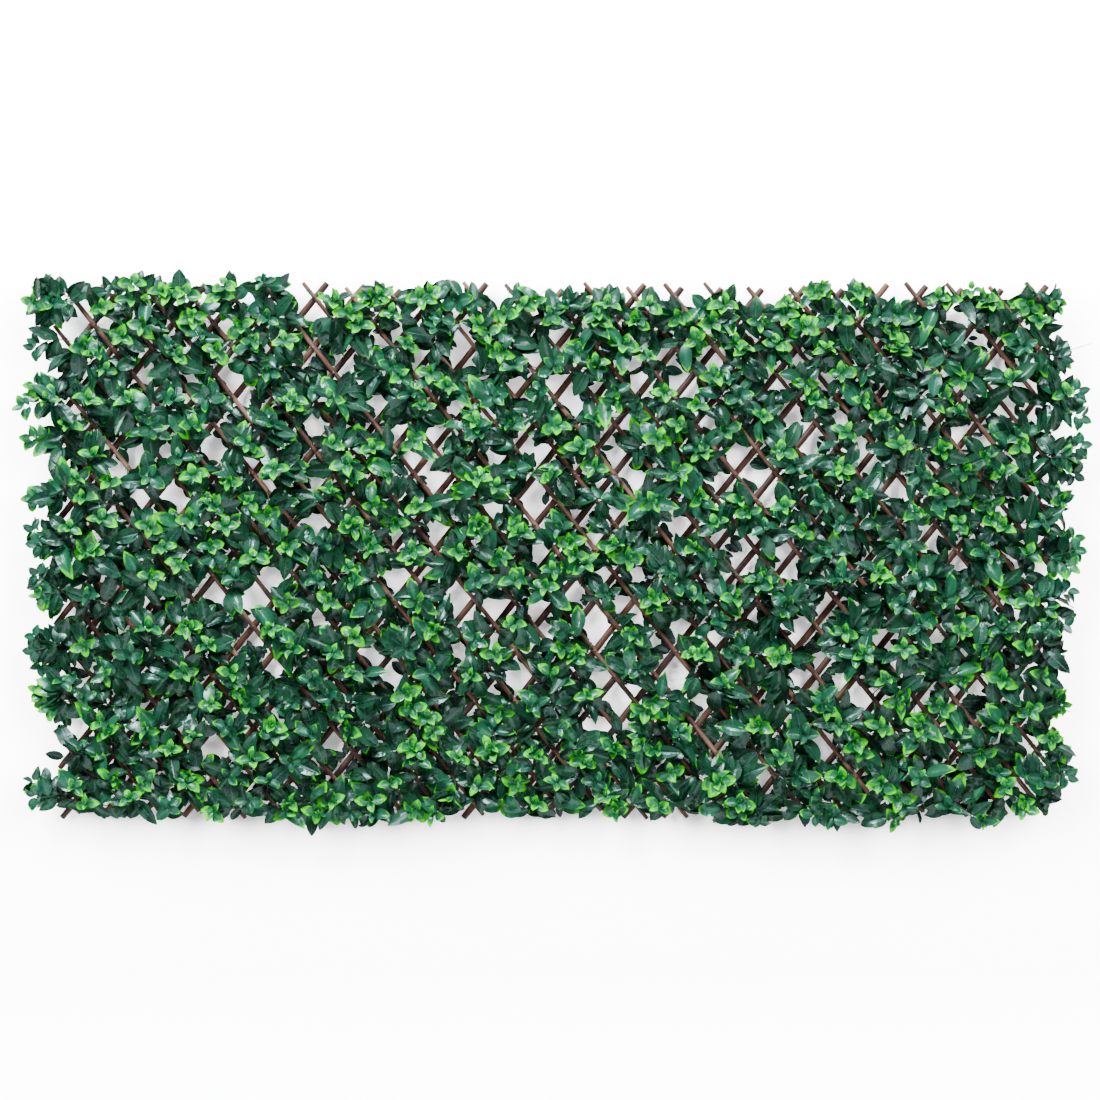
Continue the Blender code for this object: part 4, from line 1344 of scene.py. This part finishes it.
channels = stickNumbers[1:-2]  # the outermost two would stand free when the lattice is closed
innerRows = {number: [] for number in np.append(channels, channels[-1] + 0.5)}
for shrink in innerPlan["shrink"]:
    for before in channels:
        growInner(before, shrink)
for number, rows in innerRows.items():
    inner = leafPiece(f"inner_leaves_{stickName(number)}", rows, innerPlan["planes"])
    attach(inner, f"back_{placeName(wholeNumber(number))}")
    foldTowards(inner)
print("inner leaves:", total(innerRows))

tiePlan = {
    "turns": 1.9,
    "rings": 26,
    "sides": 3,
    "wire": 0.00042,
    "clear": 0.0052,
    "bulge": 0.0016,
    "bulgeHalf": 0.5,  # radians
    "pitch": 0.0016,
}


def tieSkin(rows):
    # A thin wire wound round the stick: a helix whose radius swells in front, where it passes over the stem.
    turn = np.linspace(-np.pi, np.pi * (2 * tiePlan["turns"] - 1), tiePlan["rings"])
    front = np.abs((turn + np.pi) % (2 * np.pi) - np.pi)
    radius = tiePlan["clear"] + tiePlan["bulge"] * np.exp(-((front / tiePlan["bulgeHalf"]) ** 2))
    viewer = np.array([0, -1.0, 0])
    paths = []
    for place, along in rows:
        centre = np.array([place[0], lattice["frontMiddle"], place[2]])
        ring = np.cos(turn)[:, None] * viewer + np.sin(turn)[:, None] * np.cross(along, viewer)
        climb = turn / (2 * np.pi) * tiePlan["pitch"]
        paths.append(centre + radius[:, None] * ring + climb[:, None] * along)
    paths = np.array(paths)
    return tubeSkin(paths, np.full(paths.shape[:2], tiePlan["wire"]), tiePlan["sides"])


foliagePlan = {"foldedShare": 0.6, "stemTaper": (1.1, 0.75)}
for number, rows in leafRows.items():
    label, body = placeName(number), f"front_{placeName(number)}"
    leaves = leafPiece(f"leaves_{label}", rows, outerPlanes)
    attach(leaves, body)
    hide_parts(f"leaf_vine_{label}")
    paths = np.array(stemRows[number])
    radii = sprayPlan["stemRadius"] * np.linspace(*foliagePlan["stemTaper"], paths.shape[1])
    stemSkin = tubeSkin(paths, np.tile(radii, (len(paths), 1)), sprayPlan["stemSides"])
    stems = makePiece(f"stems_{label}", stemSkin, [leafStem])
    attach(stems, body)
    for soft in (leaves, stems):
        foldTowards(soft)
for number, rows in tieRows.items():
    if rows:
        ties = makePiece(f"wire_ties_{stickName(number)}", tieSkin(rows), [tieWire])
        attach(ties, f"front_{placeName(wholeNumber(number))}")
        if number != wholeNumber(number):
            foldTowards(ties)
print("leaves:", total(leafRows))

# Stage: pale floor and backdrop, soft light, and the photograph's level view

stagePlan = {
    "floor": -0.82,
    "wall": 0.014,
    "reach": 9.0,
    "pale": (0.86, 0.86, 0.86, 1),
    "dull": (0.82, 0.82, 0.83, 1),
    "rough": 0.9,
    "glow": 0.3,  # to the camera alone
    "mirrored": 0.85,  # how much darker it shows in reflections
    "bounced": 0.95,  # and how much less light it throws back
}


def stagePaint(name, seeThrough):
    # Pale paint that shows darker in reflections and throws little light back, so that the leaves keep their
    # depth. The wall lets the camera and the light through from behind.
    paint, n, shader = startMaterial(name, (0.85, 0.85, 0.85))
    grain = n.noise(n.add("TexCoord").outputs["Object"], 3.0, 2.0)
    light = n.add("LightPath").outputs
    finish = {
        "Base Color": n.mix(n.times(grain, 0.2), stagePlan["pale"], stagePlan["dull"]),
        "Roughness": stagePlan["rough"],
        "Emission Color": (1, 1, 1, 1),
        "Emission Strength": n.times(light["Is Camera Ray"], stagePlan["glow"]),
    }
    n.fill(shader.inputs, finish)
    dark = n.add("Emission", {"Strength": 0.0}).outputs[0]
    mirrored = n.times(light["Is Glossy Ray"], stagePlan["mirrored"])
    bounced = n.times(light["Is Diffuse Ray"], stagePlan["bounced"])
    dimmed = n.math("MAXIMUM", mirrored, bounced)
    surface = n.add("MixShader", {0: dimmed, 1: shader.outputs[0], 2: dark}).outputs[0]
    if seeThrough:
        unseen = n.math("MAXIMUM", n.add("NewGeometry").outputs["Backfacing"], light["Is Shadow Ray"])
        clear = n.add("BsdfTransparent").outputs[0]
        surface = n.add("MixShader", {0: unseen, 1: surface, 2: clear}).outputs[0]
    n.set(paint.node_tree.nodes["Material Output"].inputs["Surface"], surface)
    return paint


def makeStage():
    # flat sheets for the floor and the wall
    r, z, y = stagePlan["reach"], stagePlan["floor"], stagePlan["wall"]
    sheets = {
        "floor": ([(-r, -r, z), (r, -r, z), (r, r, z), (-r, r, z)], stagePaint("paleFloor", False)),
        "backdrop": ([(-r, y, z), (r, y, z), (r, y, r), (-r, y, r)], stagePaint("paleWall", True)),
    }
    stageOnly = bpy.data.collections.new("stageOnly")
    bpy.context.scene.collection.children.link(stageOnly)
    for name, (corners, material) in sheets.items():
        mesh = bpy.data.meshes.new(name)
        mesh.from_pydata(corners, [], [(0, 1, 2, 3)])
        mesh.materials.append(material)
        sheet = bpy.data.objects.new(name, mesh)
        stageOnly.objects.link(sheet)
    return stageOnly


lightPlan = {
    # place, what it faces, width, height, watts, colour, whether it lights the stage alone
    "skyLeft": ((-1.8, -2.7, 3.4), (0, 0, 0.1), 1.9, 1.1, 540, (0.88, 0.95, 1.0), False),
    "skyTop": ((0.3, -1.5, 2.9), (0, 0, -0.1), 2.6, 0.7, 110, (0.90, 0.96, 1.0), False),
    "skyRight": ((2.2, -3.0, 2.9), (0, 0, 0), 1.5, 0.9, 160, (0.93, 0.98, 1.0), False),
    "frontFill": ((0.0, -5.2, 0.8), (0, 0, 0), 3.0, 2.0, 4, (1.0, 1.0, 1.0), False),
    "behind": ((0.6, 3.2, 2.2), (0, 0, 0), 2.6, 2.0, 200, (0.95, 0.97, 1.0), False),
    "stageLeft": ((-3.9, -3.4, 2.2), (0, 0, -0.3), 5.0, 5.0, 4500, (1.0, 1.0, 1.0), True),
    "stageRight": ((3.9, -3.4, 2.2), (0, 0, -0.3), 5.0, 5.0, 4500, (1.0, 1.0, 1.0), True),
}
skyPlan = {"colour": (0.93, 0.96, 1.0, 1), "fill": 0.024, "seen": 0.9}  # a dim fill as light, pale to the eye


def makeLights(stageOnly):
    for name, (place, target, wide, high, watts, tint, forStage) in lightPlan.items():
        lamp = bpy.data.lights.new(name, "AREA")
        lamp.shape, lamp.size, lamp.size_y, lamp.energy, lamp.color = "RECTANGLE", wide, high, watts, tint
        holder = bpy.data.objects.new(name, lamp)
        bpy.context.collection.objects.link(holder)
        holder.location = place
        holder.rotation_euler = (Vector(target) - Vector(place)).to_track_quat("-Z", "Y").to_euler()
        if forStage:
            holder.light_linking.receiver_collection = stageOnly
    world = bpy.data.worlds.new("softSky")
    bpy.context.scene.world = world
    world.use_nodes = True
    n = Nodes(world.node_tree)
    sky = world.node_tree.nodes["Background"]
    sky.inputs["Color"].default_value = skyPlan["colour"]
    toCamera = n.add("LightPath").outputs["Is Camera Ray"]
    n.set(sky.inputs["Strength"], n.plus(skyPlan["fill"], n.times(toCamera, skyPlan["seen"])))


cameraPlan = {"distance": 4.3, "sensor": 36, "leavesAt": 0.04}  # how far the leaves stand off the wall


def makeCamera():
    # level and square to the trellis, so that at the leaves the photograph's pixels span their own width
    pixels, scale = photoFit["pixels"], photoFit["metresPerPixel"]
    lens = bpy.data.cameras.new("photoCamera")
    lens.sensor_width = cameraPlan["sensor"]
    lens.lens = cameraPlan["sensor"] * (cameraPlan["distance"] - cameraPlan["leavesAt"]) / (pixels * scale)
    camera = bpy.data.objects.new("photoCamera", lens)
    bpy.context.collection.objects.link(camera)
    camera.location = ((pixels / 2 - photoFit["middleX"]) * scale, -cameraPlan["distance"], 0)
    camera.rotation_euler = (math.pi / 2, 0, 0)
    bpy.context.scene.camera = camera


makeLights(makeStage())
makeCamera()
print("stage set")
